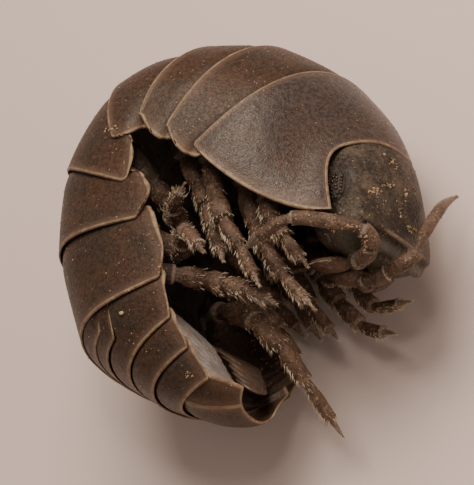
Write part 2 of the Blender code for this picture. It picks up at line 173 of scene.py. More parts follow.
# The middle of the coil, which tells a plate's outer side, and its weight in that.
COIL_CENTRE = np.array((1.2, -0.8, 0.0))
COIL_SHARE = 0.7

# Body between the plates and the belly.
TRUNK_REACH = 60.0
TRUNK_DEEP = 0.25
TRUNK_NAPE_LOW = 1.55
TRUNK_FOLD = 0.05


def unit(vectors):
    return vectors / np.linalg.norm(vectors, axis=-1, keepdims=True)


def flat_way(degrees):
    """The direction at an angle in the body's midplane."""
    turn = math.radians(degrees)
    return np.array((math.cos(turn), math.sin(turn), 0))


NAPE_BACK = flat_way(NAPE_LEAN)
NAPE_AHEAD = np.array((NAPE_BACK[1], -NAPE_BACK[0], 0))


def smooth_step(low, high, value):
    share = np.clip((value - low) / (high - low), 0.0, 1.0)
    return share * share * (3 - 2 * share)


def between(first, last, share):
    return Margin(*(a + (b - a) * share for a, b in zip(first, last)))


def axes(margin):
    """Directions of the back, the tail and the right side at a margin."""
    lean = math.radians(margin.lean)
    back = Vector((math.cos(lean), math.sin(lean), 0))
    tail = Vector((-math.sin(lean), math.cos(lean), 0))
    yaw = Matrix.Rotation(math.radians(margin.yaw), 3, back)
    tail = yaw @ tail
    roll = Matrix.Rotation(math.radians(margin.roll), 3, tail)
    return [np.array(v) for v in (roll @ back, tail, roll @ yaw @ Vector((0, 0, 1)))]


def at(margin, right, high, tailward):
    """Points beside, above and behind the midpoint of a margin's corners."""
    back, tail, side = axes(margin)
    right, high, tailward = np.broadcast_arrays(right, high, tailward)
    middle = np.array((margin.x, margin.y, margin.z))
    return middle + high[..., None] * back + right[..., None] * side + tailward[..., None] * tail


def arch(angles):
    turns = np.radians(angles)
    out = np.sign(turns) * np.abs(np.sin(turns)) ** ARCH_POWER
    return out, np.clip(np.cos(turns), 0, None) ** ARCH_POWER


def outer_row(margin, angles, inset=0.0, drop=0.0, tailward=0.0):
    out, high = arch(angles)
    aside = np.abs(np.sin(np.radians(angles)))
    lower = drop * aside ** DROP_POWER
    return at(margin, (margin.half - inset) * out, (margin.high - inset) * high - lower,
              margin.sweep * aside ** SWEEP_POWER + tailward)


def belly_row(margin, shares):
    rise = BELLY_HIGH + BELLY_DOME * (1 - shares ** 2)
    aside = np.abs(np.sin(np.radians(PLATE_FROM * shares)))
    return at(margin, margin.half * BELLY_HALF * shares, margin.high * rise,
              margin.sweep * aside ** SWEEP_POWER)


def nape_row(angles, deeper=0.0):
    side = arch(angles)[0]
    out = np.abs(side)
    forward = NAPE_SWEEP * out ** NAPE_SWEEP_POWER - NAPE_HOLLOW * np.sin(math.pi * out)
    down = NAPE_DROP * out ** 2 + deeper
    right = np.array((0, 0, 1.0)) * (NAPE_HALF * side)[:, None]
    return NAPE_TOP + forward[:, None] * NAPE_AHEAD - down[:, None] * NAPE_BACK + right


def nape_leads(angles):
    turns = np.radians(NAPE_LEAN - 90 + NAPE_CORNER_TURN * np.abs(arch(angles)[0]) ** 3)
    return np.stack((np.cos(turns), np.sin(turns), np.zeros_like(turns)), -1)


def bend(start, lead_in, lead_out, end, share):
    """A cubic curve that leaves and arrives along the two leads."""
    reach = np.linalg.norm(end - start, axis=-1, keepdims=True) / 3
    a, b = start - lead_in * reach, end + lead_out * reach
    rest = 1 - share
    return (start * rest ** 3 + a * 3 * rest ** 2 * share + b * 3 * rest * share ** 2
            + end * share ** 3)


def place(points):
    """Ring millimetres to metres in the row's frame, with nothing under the floor."""
    moved = np.asarray(points, float) - ORIGIN
    moved[..., 2] = np.maximum(moved[..., 2], 0)
    return moved * MM


# Slot, points and faces of each surface that soil may lie on.
SURFACES = []


class Build:
    """Gathers points, faces and named values for one mesh."""

    def __init__(self, *names):
        self.points = []
        self.faces = []
        self.values = {name: [] for name in names}
        self.count = 0

    def add(self, points, faces, **values):
        points = np.asarray(points, float).reshape(-1, 3)
        self.points.append(points)
        self.faces.extend([[i + self.count for i in face] for face in faces])
        for name, kept in self.values.items():
            value = np.asarray(values.get(name, 0.0), float)
            kept.append(np.broadcast_to(value.reshape(-1) if value.ndim else value, len(points)))
        self.count += len(points)

    def done(self, name, material, slot, replaces=()):
        """Makes the piece. It takes soil, unless it is hair (u) or soil itself (tone)."""
        mesh = bpy.data.meshes.new(name)
        mesh.from_pydata(place(np.concatenate(self.points)), [], self.faces)
        values = {key: np.concatenate(kept) for key, kept in self.values.items()}
        if "u" not in values and "tone" not in values:
            SURFACES.append((slot, np.concatenate(self.points), self.faces))
        if "u" in values:
            corners = np.empty(len(mesh.loops), np.int32)
            mesh.loops.foreach_get("vertex_index", corners)
            spots = np.stack((values.pop("u"), values.pop("v")), -1)[corners]
            layer = mesh.uv_layers.new(name="OFBake")
            layer.data.foreach_set("uv", spots.astype(np.float32).ravel())
        for key, kept in values.items():
            layer = mesh.attributes.new(key, "FLOAT", "POINT")
            layer.data.foreach_set("value", kept.astype(np.float32))
        mesh.shade_smooth()
        made = bpy.data.objects.new(name, mesh)
        bpy.context.collection.objects.link(made)
        mesh.materials.append(material)
        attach(made, "root")
        if replaces:
            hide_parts(*replaces)


def grid_faces(rows, columns, start=0, flip=False):
    faces = []
    for r in range(rows - 1):
        for c in range(columns - 1):
            a = start + r * columns + c
            quad = [a, a + 1, a + columns + 1, a + columns]
            faces.append(quad[::-1] if flip else quad)
    return faces


def grid_normals(grid, centre):
    down = np.gradient(grid, axis=0)
    across = np.gradient(grid, axis=1)
    normals = unit(np.cross(down, across))
    if np.mean(np.sum(normals * (grid - centre), -1)) < 0:
        normals = -normals
    return normals


def run_from_end(grid, axis):
    """Distance along the grid lines from each point to the last one."""
    steps = np.linalg.norm(np.diff(grid, axis=axis), axis=-1)
    turned = np.flip(np.cumsum(np.flip(steps, axis), axis), axis)
    pad = [(0, 0), (0, 0)]
    pad[axis] = (0, 1)
    return np.pad(turned, pad)


def margin_distance(grid, front_is_free):
    """Distance to the nearest free margin of a plate, with its broader side rims drawn in."""
    rear = run_from_end(grid, 0)
    side = np.minimum(run_from_end(grid, 1), np.flip(run_from_end(np.flip(grid, 1), 1), 1))
    near = np.minimum(rear, side * SIDE_RIM)
    if front_is_free:
        near = np.minimum(near, np.flip(run_from_end(np.flip(grid, 0), 0), 0) * FRONT_RIM)
    return near


def rim_relief(near):
    bead = BEAD_HIGH * np.exp(-((near - BEAD_AT) / BEAD_WIDE) ** 2)
    groove = GROOVE_DEEP * np.exp(-((near - GROOVE_AT) / GROOVE_WIDE) ** 2)
    return bead - groove


def thick_sheet(build, grid, thick, centre, near):
    """A closed plate under a grid of surface points, with a rounded border."""
    rows, columns = grid.shape[:2]
    normals = grid_normals(grid, centre)
    top = grid + normals * rim_relief(near)[..., None]
    depth = thick * (RIM_THICK + (1 - RIM_THICK) * smooth_step(0, RIM_REACH, near))
    low = grid - normals * depth[..., None]
    middle = (top + low) / 2
    ring = [(0, c) for c in range(columns)] + [(r, columns - 1) for r in range(1, rows)]
    ring += [(rows - 1, c) for c in range(columns - 2, -1, -1)]
    ring += [(r, 0) for r in range(rows - 2, 0, -1)]
    border = []
    for r, c in ring:
        away = middle[r, c] - middle[min(max(r, 1), rows - 2), min(max(c, 1), columns - 2)]
        border.append(middle[r, c] + away / max(np.linalg.norm(away), 1e-6) * thick * BORDER)
    count = rows * columns
    faces = grid_faces(rows, columns) + grid_faces(rows, columns, count, True)
    for k in range(len(ring)):
        after = (k + 1) % len(ring)
        a, b = (ring[i][0] * columns + ring[i][1] for i in (k, after))
        m, n = 2 * count + k, 2 * count + after
        faces.append([a, m, n, b])
        faces.append([m, count + a, count + b, n])
    if np.sum(np.cross(grid[1, 0] - grid[0, 0], grid[0, 1] - grid[0, 0]) * normals[0, 0]) > 0:
        faces = [face[::-1] for face in faces]
    points = np.concatenate((top.reshape(-1, 3), low.reshape(-1, 3), np.array(border)))
    flat = near.reshape(-1)
    ends = np.array([near[r, c] for r, c in ring])
    inside = np.concatenate((np.zeros(count), np.ones(count), np.full(len(ring), 0.5)))
    build.add(points, faces, edge=np.concatenate((flat, flat, ends)), inside=inside)


def plate_shares(tuck, both_ends=False):
    u = np.linspace(0, 1, PLATE_ROWS)
    w = 0.5 - 0.5 * np.cos(math.pi * u) if both_ends else 1 - (1 - u) ** ROW_CROWDING
    return -tuck + (1 + tuck) * w


def plate_angles(reach=90.0, columns=PLATE_COLUMNS):
    u = np.linspace(-1, 1, columns)
    return reach * np.sin(np.radians(90 * u))


def rounding(angles, margin, share, size):
    """How far a plate's rear corners draw in from its margin."""
    low = np.clip(1 - margin.high * arch(angles)[1] / size, 0, 1)
    return -size * (1 - np.sqrt(1 - low ** 2)) * max(share, 0.0) ** 2


def lobe_share(lobe, front, rear, share):
    """How full a plate's lower edge bulges at a share of its length."""
    length = math.dist(front[:3], rear[:3])
    ahead = min((1 - max(share, 0.0)) * length / lobe.reach, 1.0)
    risen = min(max((share + TUCK) / (lobe.rise + TUCK), 0.0), 1.0)
    return (1 - (1 - ahead) ** 2) * math.sqrt(1 - (1 - risen) ** 2)


def step_at(share, step=STEP):
    if share < 0:
        return step + TUCK_DEEPER
    return step * max(1 - share / (STEP_LENGTH * step / STEP), 0.0) ** 2


def tuck_shift(share, length):
    return share * length if share < 0 else LIP * share ** 4


def plate_grid(front, rear, lobe, step, size, angles):
    """Surface points of a plate, from its tucked front to its rear margin."""
    grid = []
    for share in plate_shares(TUCK):
        margin = between(front, rear, max(share, 0.0))
        bulge = lobe_share(lobe, front, rear, share)
        shift = tuck_shift(share, PLATE_RUN) + rounding(angles, margin, share, size)
        aside = np.abs(np.sin(np.radians(angles)))
        shift = shift - lobe.fore * bulge * aside ** DROP_POWER
        grid.append(outer_row(margin, angles, step_at(share, step), lobe.drop * bulge, shift))
    return np.array(grid)


def first_grid(angles):
    rear = PEREON[0]
    lead = -axes(rear)[1]
    grid = []
    for share in plate_shares(0.0, True):
        shift = LIP * share ** 4 + rounding(angles, rear, share, CORNER_ROUNDS[0])
        end = outer_row(rear, angles, tailward=shift)
        grid.append(bend(nape_row(angles), nape_leads(angles), lead, end, share))
    return np.array(grid)


def hoop_place(index, angle):
    """How far a hoop's rear margin lies on the way from the last large plate to the third ring."""
    if index < 0:
        return 0.0
    return HOOP_SHARES[index] * (1 - float(smooth_step(*HOOP_BLENDS[index], abs(angle))))


def hoop_grid(index, angles):
    grid = []
    for share in plate_shares(HOOP_TUCK):
        row = []
        for angle in angles:
            front, rear = hoop_place(index - 1, angle), hoop_place(index, angle)
            margin = between(PEREON[-1], PLEON[0], front + (rear - front) * max(share, 0.0))
            dive = HOOP_DIVE * float(smooth_step(*HOOP_BLENDS[index], abs(angle)))
            inset = step_at(share) * HOOP_STEP + dive
            shift = tuck_shift(share, HOOP_RUN)
            row.append(outer_row(margin, np.array([angle]), inset, 0, shift)[0])
        grid.append(row)
    return np.array(grid)


def third_grid(angles):
    grid = []
    for share in plate_shares(THIRD_TUCK):
        row = []
        for angle in angles:
            front = hoop_place(1, angle)
            margin = between(PEREON[-1], PLEON[0], front + (1 - front) * max(share, 0.0))
            lower = PLEON_LOBE.drop * lobe_share(PLEON_LOBE, PEREON[-1], PLEON[0], share)
            one = np.array([angle])
            shift = tuck_shift(share, THIRD_RUN) + rounding(one, margin, share, TAIL_ROUND)
            row.append(outer_row(margin, one, step_at(share), lower, shift)[0])
        grid.append(row)
    return np.array(grid)


def fan_grid(angles):
    grid = []
    for share in plate_shares(FAN_TUCK):
        margin = between(PLEON[-1], FAN_END, max(share, 0.0))
        shift = min(share, 0.0) * FAN_RUN
        grid.append(outer_row(margin, angles, step_at(share) * FAN_STEP, 0, shift))
    return np.array(grid)


def make_plate(name, node, grid, material, thick, front_is_free=False):
    build = Build("edge", "inside")
    own = grid.reshape(-1, 3).mean(0) * np.array((1, 1, 0))
    centre = own * (1 - COIL_SHARE) + COIL_CENTRE * COIL_SHARE
    thick_sheet(build, grid, thick, centre, margin_distance(grid, front_is_free))
    build.done(name, material, "plate", [node])


def plates(first, rest):
    wide = plate_angles()
    make_plate("plate_1", "pereonite_1", first_grid(wide), first, SHELL_THICK, True)
    for i, lobe in enumerate(LOBES):
        size = CORNER_ROUNDS[i + 1]
        grid = plate_grid(PEREON[i], PEREON[i + 1], lobe, STEPS[i], size, wide)
        make_plate(f"plate_{i + 2}", f"pereonite_{i + 2}", grid, rest, SHELL_THICK)
    narrow = plate_angles(HOOP_REACH, HOOP_COLUMNS)
    for i in (0, 1):
        grid = hoop_grid(i, narrow)
        make_plate(f"tail_hoop_{i + 1}", f"pleonite_{i + 1}", grid, rest, HOOP_THICK)
    make_plate("tail_plate_3", "pleonite_3", third_grid(wide), rest, TAIL_THICK)
    for i in (1, 2):
        grid = plate_grid(PLEON[i - 1], PLEON[i], PLEON_LOBE, STEP, TAIL_ROUND, wide)
        make_plate(f"tail_plate_{i + 3}", f"pleonite_{i + 3}", grid, rest, TAIL_THICK)
    tip = fan_grid(plate_angles(TELSON_REACH, TIP_COLUMNS))
    make_plate("tail_tip", "telson", tip, rest, TAIL_THICK)
    for name, side in SIDES:
        low, high = sorted(side * reach for reach in UROPOD_REACH)
        grid = fan_grid(np.linspace(low, high, SIDE_COLUMNS))
        make_plate(f"tail_side_{name}", f"uropod_{name}", grid, rest, TAIL_THICK)


def trunk(material):
    """The soft body under the plates, down to the belly between the legs."""
    shares = np.linspace(-1, 1, 41)
    tops = shares * TRUNK_REACH
    rings = []
    rear = PEREON[0]
    lead = -axes(rear)[1]
    for share in np.linspace(0.2, 0.95, 14):
        over = bend(nape_row(tops, TRUNK_DEEP), nape_leads(tops), lead,
                    outer_row(rear, tops, TRUNK_DEEP), share)
        under = bend(nape_row(tops, TRUNK_NAPE_LOW), nape_leads(tops), lead,
                     belly_row(rear, shares), share)
        rings.append(np.concatenate((over, under[::-1])))
    run = (*PEREON, *PLEON)
    for i in range(len(run) - 1):
        for share in np.linspace(0, 0.92, 8):
            margin = between(run[i], run[i + 1], share)
            fold = TRUNK_FOLD * math.sin(math.pi * share) ** 2
            over = outer_row(margin, tops, TRUNK_DEEP)
            under = belly_row(margin._replace(high=margin.high * (1 - fold)), shares)
            rings.append(np.concatenate((over, under[::-1])))
    build = Build()
    loft(build, np.array(rings))
    build.done("trunk", material, "limb")


def loft(build, rings, **values):
    """A closed body through closed rings of points, with a flat cap at each end."""
    rows, columns = rings.shape[:2]
    faces = []
    for r in range(rows - 1):
        for c in range(columns):
            k = (c + 1) % columns
            a, b = r * columns + c, r * columns + k
            faces.append([a, b, b + columns, a + columns])
    faces.append(list(range(columns))[::-1])
    faces.append([(rows - 1) * columns + c for c in range(columns)])
    first = rings[0]
    turn = np.cross(first[columns // 3] - first[0], first[2 * columns // 3] - first[0])
    if np.dot(turn, rings[1].mean(0) - first.mean(0)) < 0:
        faces = [face[::-1] for face in faces]
    build.add(rings, faces, **values)


class Shader:
    """A short way to write a material's nodes."""

    def __init__(self, name):
        self.material = bpy.data.materials.new(name)
        self.material.use_nodes = True
        self.tree = self.material.node_tree
        self.bsdf = self.tree.nodes["Principled BSDF"]
        self.place = self.add("ShaderNodeMapping", Vector=self.add("ShaderNodeTexCoord")["Object"],
                              Scale=(1 / MM, 1 / MM, 1 / MM))["Vector"]

    def add(self, kind, settings=None, **inputs):
        node = self.tree.nodes.new(kind)
        for key, value in (settings or {}).items():
            setattr(node, key, value)
        for key, value in inputs.items():
            self.feed(node.inputs[key.replace("_", " ")], value)
        return node.outputs

    def feed(self, socket, value):
        if isinstance(value, bpy.types.NodeSocket):
            self.tree.links.new(value, socket)
        else:
            socket.default_value = value

    def noise(self, scale, detail=4.0, rough=0.55):
        return self.add("ShaderNodeTexNoise", Vector=self.place, Scale=scale, Detail=detail,
                        Roughness=rough)["Fac"]

    def dots(self, scale):
        return self.add("ShaderNodeTexVoronoi", Vector=self.place, Scale=scale)["Distance"]

    def specks(self, scale, size, share):
        """Small round spots in some of the cells of a random pattern."""
        cells = self.add("ShaderNodeTexVoronoi", Vector=self.place, Scale=scale)
        chosen = self.add("ShaderNodeSeparateColor", Color=cells["Color"])["Red"]
        spot = self.steps(cells["Distance"], size * 0.7, size, 1.0, 0.0)
        return self.times(spot, self.steps(chosen, share, share + 0.02, 0.8, 0.0))

    def value(self, name):
        return self.add("ShaderNodeAttribute", {"attribute_name": name})["Fac"]

    def steps(self, value, low, high, first=0.0, last=1.0):
        made = self.add("ShaderNodeMapRange", {"interpolation_type": "SMOOTHSTEP"}, Value=value)
        node = made["Result"].node
        for index, number in zip((1, 2, 3, 4), (low, high, first, last)):
            node.inputs[index].default_value = number
        return made["Result"]

    def mix(self, share, first, last):
        node = self.tree.nodes.new("ShaderNodeMix")
        node.data_type = "RGBA"
        self.feed(node.inputs[0], share)
        for socket, value in ((node.inputs[6], first), (node.inputs[7], last)):
            self.feed(socket, value if isinstance(value, bpy.types.NodeSocket) else (*value, 1.0))
        return node.outputs[2]

    def sum(self, first, last, kind="ADD"):
        node = self.tree.nodes.new("ShaderNodeMath")
        node.operation = kind
        self.feed(node.inputs[0], first)
        self.feed(node.inputs[1], last)
        return node.outputs[0]

    def times(self, first, last):
        return self.sum(first, last, "MULTIPLY")

    def bump(self, height, distance, normal=None):
        made = self.add("ShaderNodeBump", Strength=1.0, Distance=distance * MM, Height=height)
        if normal:
            self.feed(made["Normal"].node.inputs["Normal"], normal)
        return made["Normal"]

    def finish(self, **inputs):
        for key, value in inputs.items():
            if isinstance(value, tuple):
                value = (*value, 1.0)
            self.feed(self.bsdf.inputs[key.replace("_", " ")], value)
        return self.material


# Tint of the animal's sheen, and the colours of the plates' rims.
SHEEN = (1.0, 0.84, 0.70)
RIM = (0.24, 0.145, 0.095)
GOLD = (0.33, 0.22, 0.12)


def shell_material(name, colours, rough):
    """Granular shell in mottled browns and greys, with a pale line along its margins."""
    s = Shader(name)
    dark, brown, grey = colours
    hue = s.steps(s.sum(s.noise(0.8, 3.0), s.times(s.noise(5.0, 4.0), 0.6)), 0.62, 1.0)
    body = s.mix(hue, brown, grey)
    grain = s.sum(s.noise(11.0, 4.0, 0.7), s.times(s.noise(30.0, 2.0, 0.6), 0.5))
    body = s.mix(s.steps(grain, 0.60, 0.86, 0.85, 0.0), body, dark)
    body = s.mix(s.specks(6.5, 0.13, 0.45), body, (0.26, 0.19, 0.14))
    wobble = s.sum(s.value("edge"), s.times(s.noise(2.5), 0.030), "SUBTRACT")
    body = s.mix(s.steps(wobble, 0.0, 0.22, 0.45, 0.0), body, s.mix(0.5, brown, RIM))
    worn = s.steps(s.noise(6.0, 3.0), 0.25, 0.6, 0.35, 0.95)
    line = s.times(s.steps(wobble, -0.005, 0.028, 1.0, 0.0), worn)
    colour = s.mix(line, body, s.mix(s.steps(s.noise(3.5, 3.0), 0.4, 0.6), RIM, GOLD))
    domes = s.bump(s.steps(s.dots(19.0), 0.12, 0.55, 1.0, 0.0), 0.0036)
    fine = s.bump(s.noise(7.0, 2.0, 0.5), 0.008, domes)
    waves = s.bump(s.noise(1.6, 2.0), 0.030, fine)
    gloss = s.steps(s.noise(19.0, 2.0), 0.3, 0.7, rough - 0.08, rough + 0.10)
    return s.finish(Base_Color=colour, Roughness=gloss, Normal=waves, Specular_IOR_Level=0.30,
                    Specular_Tint=SHEEN)


def flesh_material():
    s = Shader("flesh")
    share = s.steps(s.noise(4.0, 4.0), 0.35, 0.65)
    colour = s.mix(share, (0.030, 0.020, 0.014), (0.075, 0.050, 0.036))
    return s.finish(Base_Color=colour, Roughness=0.5, Normal=s.bump(s.noise(16.0, 3.0), 0.02))


# Head, as an outline in the midplane that shrinks towards its two flat sides.
HEAD_CENTRE = np.array((3.80, 0.10, 0.0))
HEAD_HALF = 1.67
HEAD_POWER = 5.2
HEAD_FLAT = 0.975
HEAD_SLICES = 96
HEAD_CROWN_TURN = -50.0
HEAD_BROW = (4.58, -0.72)
HEAD_BROW_BEND = 0.14
HEAD_CHIN = (2.95, -0.95)
HEAD_DEPTH = 1.50
HEAD_UNDER = 0.05
HEAD_TUCK = 0.10
HEAD_RING = 150
BROW_RIDGE = 0.055
RIDGE_WIDE = 0.07
RIDGE_DROP = 0.3
# Points of the face, as steps from the brow, and where its paler skin begins.
FACE_STEPS = ((-0.02, -0.07), (-0.10, -0.10), (-0.15, -0.16), (-0.20, -0.30), (-0.26, -0.36),
              (-0.36, -0.36), (-0.48, -0.27), (-0.62, -0.30))
FACE_BELOW = (-0.78, -0.98)
FACE_AHEAD = (3.2, 3.8)
# A smooth patch in front of each eye.
SMOOTH_PATCH = np.array((3.86, 0.28, 0.0))
SMOOTH_SIZE = np.array((0.16, 0.42))
SMOOTH_FADE = (1.2, 0.5)
SMOOTH_SHARE = 0.8
# Each eye is a low dome with rows of beads, which spread over most of it.
EYE_CENTRE = np.array((3.54, 0.20, 0.0))
EYE_SIZE = (0.78, 0.50)
EYE_TILT = 92.0
EYE_DOME = 0.10
BEAD_ROWS = 4
BEADS_A_ROW = 7
BEAD_RADIUS = 0.046
BEAD_JITTER = 0.012
BEAD_SPREAD = 0.88
ROW_SPREAD = 0.85


def curve_through(points, count):
    """Evenly numbered points on a smooth curve through a few given ones."""
    points = np.asarray(points, float)
    ends = np.concatenate(([points[0] * 2 - points[1]], points, [points[-1] * 2 - points[-2]]))
    spans = len(points) - 1
    made = []
    for where in np.linspace(0, spans, count):
        k = min(int(where), spans - 1)
        t = where - k
        a, b, c, d = ends[k:k + 4]
        made.append(0.5 * (b * 2 + (c - a) * t + (a * 2 - b * 5 + c * 4 - d) * t * t
                           + (b * 3 - a - c * 3 + d) * t ** 3))
    return np.array(made)


def even(points, count):
    """The same curve with its points at equal distances."""
    run = np.concatenate(([0], np.cumsum(np.linalg.norm(np.diff(points, axis=0), axis=1))))
    wanted = np.linspace(0, run[-1], count)
    return np.stack([np.interp(wanted, run, points[:, k]) for k in range(points.shape[1])], -1)


def head_outline(aside):
    """The head's outline at a share of its half width, from the nape over the brow to the chin."""
    out = HEAD_HALF * abs(aside) / NAPE_HALF
    angle = math.degrees(math.asin(out ** (1 / ARCH_POWER)))
    nape = nape_row(np.array([angle]))[0] * np.array((1, 1, 0))
    top = nape - NAPE_BACK * HEAD_UNDER - NAPE_AHEAD * HEAD_TUCK
    brow = np.array((HEAD_BROW[0] - HEAD_BROW_BEND * aside ** 2, HEAD_BROW[1], 0))
    chin = np.array((*HEAD_CHIN, 0))
    low = top - NAPE_BACK * HEAD_DEPTH
    lead = -flat_way(HEAD_CROWN_TURN)
    up = np.array((0, 1.0, 0))
    crown = [bend(top, lead, up, brow, t) for t in np.linspace(0, 1, 40)]
    ends = [brow + np.array((*step, 0)) for step in FACE_STEPS]
    under = curve_through([ends[-1], ends[-1] * 0.5 + chin * 0.5 + np.array((0, -0.06, 0)), chin,
                           chin * 0.5 + low * 0.5 - np.array((0.08, 0, 0)), low], 40)
    return np.concatenate((crown, curve_through(ends, 30), under[1:]))


def head(material):
    rings = []
    for turn in np.linspace(-0.5, 0.5, HEAD_SLICES + 1) * math.pi:
        aside = math.sin(turn) * HEAD_FLAT
        size = (1 - abs(aside) ** HEAD_POWER) ** (1 / HEAD_POWER)
        ring = even(head_outline(aside), HEAD_RING)
        ring = HEAD_CENTRE + (ring - HEAD_CENTRE) * size
        ring[:, 2] = aside * HEAD_HALF
        rings.append(ring)
    rings = np.array(rings)
    brow = np.array((*HEAD_BROW, 0))
    away = np.linalg.norm((rings - brow)[..., :2], axis=-1)
    ridge = np.exp(-(away / RIDGE_WIDE) ** 2)
    rings[..., 0] += ridge * BROW_RIDGE
    rings[..., 1] -= ridge * BROW_RIDGE * RIDGE_DROP
    build = Build("ridge", "face", "smooth")
    face = smooth_step(*FACE_BELOW, rings[..., 1]) * smooth_step(*FACE_AHEAD, rings[..., 0])
    patch = np.linalg.norm((rings - SMOOTH_PATCH)[..., :2] / SMOOTH_SIZE, axis=-1)
    smooth = smooth_step(*SMOOTH_FADE, patch) * SMOOTH_SHARE
    loft(build, rings, ridge=ridge.reshape(-1), face=face.reshape(-1), smooth=smooth.reshape(-1))
    build.done("head_shell", material, "head", ["head"])


def ball(centre, radii, rings=6, sides=10):
    """A closed ball of given radii round a point, as points and faces."""
    points = [centre + np.array((0, 0, radii[2]))]
    for r in range(1, rings):
        level = math.pi * r / rings
        for k in range(sides):
            turn = 2 * math.pi * k / sides
            points.append(centre + np.array((radii[0] * math.sin(level) * math.cos(turn),
                                             radii[1] * math.sin(level) * math.sin(turn),
                                             radii[2] * math.cos(level))))
    points.append(centre - np.array((0, 0, radii[2])))
    faces = [[0, 1 + k, 1 + (k + 1) % sides] for k in range(sides)]
    for r in range(rings - 2):
        for k in range(sides):
            a, b = 1 + r * sides + k, 1 + r * sides + (k + 1) % sides
            faces.append([a, a + sides, b + sides, b])
    last = len(points) - 1
    base = 1 + (rings - 2) * sides
    faces += [[last, base + (k + 1) % sides, base + k] for k in range(sides)]
    return np.array(points), faces


def eye(name, side, material):
    """A low dome with rows of small round lenses."""
    build = Build("bead")
    rng = random.Random(2)
    level = side * (HEAD_HALF * HEAD_FLAT)
    centre = EYE_CENTRE + np.array((0, 0, level))
    along = flat_way(EYE_TILT)
    across = np.array((-along[1], along[0], 0))
    points, faces = ball(np.zeros(3), (EYE_SIZE[0] / 2, EYE_SIZE[1] / 2, EYE_DOME), 12, 28)
    dome = centre + points[:, :1] * along + points[:, 1:2] * across + points[:, 2:] * (0, 0, 1)
    build.add(dome, faces, bead=0.0)
    for row in range(BEAD_ROWS):
        v = ROW_SPREAD * ((row + 0.5) / BEAD_ROWS * 2 - 1)
        count = BEADS_A_ROW - (row in (0, BEAD_ROWS - 1))
        for k in range(count):
            u = ((k + 0.5) / count * 2 - 1) * BEAD_SPREAD
            x, y = u * math.sqrt(1 - v ** 2) * EYE_SIZE[0] / 2, v * EYE_SIZE[1] / 2
            inside = 1 - (x / EYE_SIZE[0] * 2) ** 2 - (y / EYE_SIZE[1] * 2) ** 2
            high = side * EYE_DOME * math.sqrt(max(inside, 0.0))
            x, y = x + rng.gauss(0, BEAD_JITTER), y + rng.gauss(0, BEAD_JITTER)
            spot = centre + along * x + across * y + np.array((0, 0, high))
            build.add(*ball(spot, (BEAD_RADIUS,) * 3, 6, 10), bead=1.0)
    build.done(f"eye_beads_{name}", material, "eye", [f"eye_{name}"])


# Gill covers under the tail: leaves that overlap like tiles.
GILL_LEAVES = 5
GILL_LENGTH = 1.45
GILL_MID = 0.35
GILL_HALF = 0.25
GILL_LEVEL = 0.17
GILL_THICK = 0.13
GILL_LIFT = 0.26
GILL_GAP = 0.12
GILL_SKEW = (0.85, 0.5)
GILL_TAPER = 0.7
GILL_RIBS = 16.0


def round_turns(count):
    return np.linspace(0, 2 * math.pi, count, endpoint=False)


def swelling(share, skew, blunt):
    """How broad a leaf is at a share of its length, with its middle towards its far end."""
    return math.sin(math.pi * share ** skew) ** blunt


def tail_margin(where):
    run = (PEREON[-1], *PLEON)
    k = min(int(where), len(PLEON) - 1)
    return between(run[k], run[k + 1], where - k)


def gill_leaves(name, side, material):
    build = Build("across")
    turns = round_turns(40)
    shares = np.linspace(0.015, 0.985, 30)
    for leaf in range(GILL_LEAVES):
        first = leaf * (len(PLEON) - GILL_LENGTH) / (GILL_LEAVES - 1)
        rings = []
        for t in shares:
            margin = tail_margin(first + GILL_LENGTH * t)
            swell = swelling(t, *GILL_SKEW)
            half = margin.half * GILL_HALF * swell ** GILL_TAPER
            level = margin.high * GILL_LEVEL + GILL_LIFT * (0.5 - t)
            rings.append(at(margin, side * margin.half * GILL_MID + half * np.cos(turns),
                            level + GILL_THICK * swell * np.sin(turns), GILL_GAP))
        loft(build, np.array(rings), across=np.tile(np.cos(turns), len(shares)))
    build.done(f"gill_leaves_{name}", material, "gill", [f"pleopods_{name}"])


def gill_material(name, pale, dark):
    s = Shader(name)
    across = s.times(s.value("across"), GILL_RIBS)
    ribs = s.add("ShaderNodeMath", {"operation": "SINE"}, Value=across)["Value"]
    lines = s.steps(ribs, -0.2, 0.9, 0.0, 0.18)
    body = s.mix(s.steps(s.noise(2.5, 3.0), 0.35, 0.7), pale, dark)
    colour = s.mix(lines, body, pale)
    low = s.bump(ribs, 0.004)
    skin = s.bump(s.noise(12.0, 3.0), 0.010, low)
    return s.finish(Base_Color=colour, Roughness=0.30, Normal=skin, Subsurface_Weight=0.25,
                    Subsurface_Scale=0.15 * MM, Specular_Tint=SHEEN)


# Mouthparts: two broad covers side by side, each with a short jointed palp.
MOUTH_CENTRE = np.array((2.74, -1.18, 0.0))
MOUTH_LONG = 1.25
MOUTH_WIDE = 1.70
MOUTH_HIGH = 0.13
MOUTH_SAG = 0.05
MOUTH_SKEW = (0.8, 0.45)
MOUTH_BRISTLES = 26
MOUTH_BRISTLE_LONG = (0.08, 0.14)
MOUTH_BRISTLE_THICK = 0.009
PALP_ENDS = (0.5, 0.8, 1.0)
PALP_THICK = (0.085, 0.085 * 0.8, 0.085 * 0.55)


def mouth_place(t):
    """How far ahead of its middle a cover's place is, and how broad the cover is there."""
    return MOUTH_LONG * (0.5 - 0.86 * t), swelling(t, *MOUTH_SKEW)


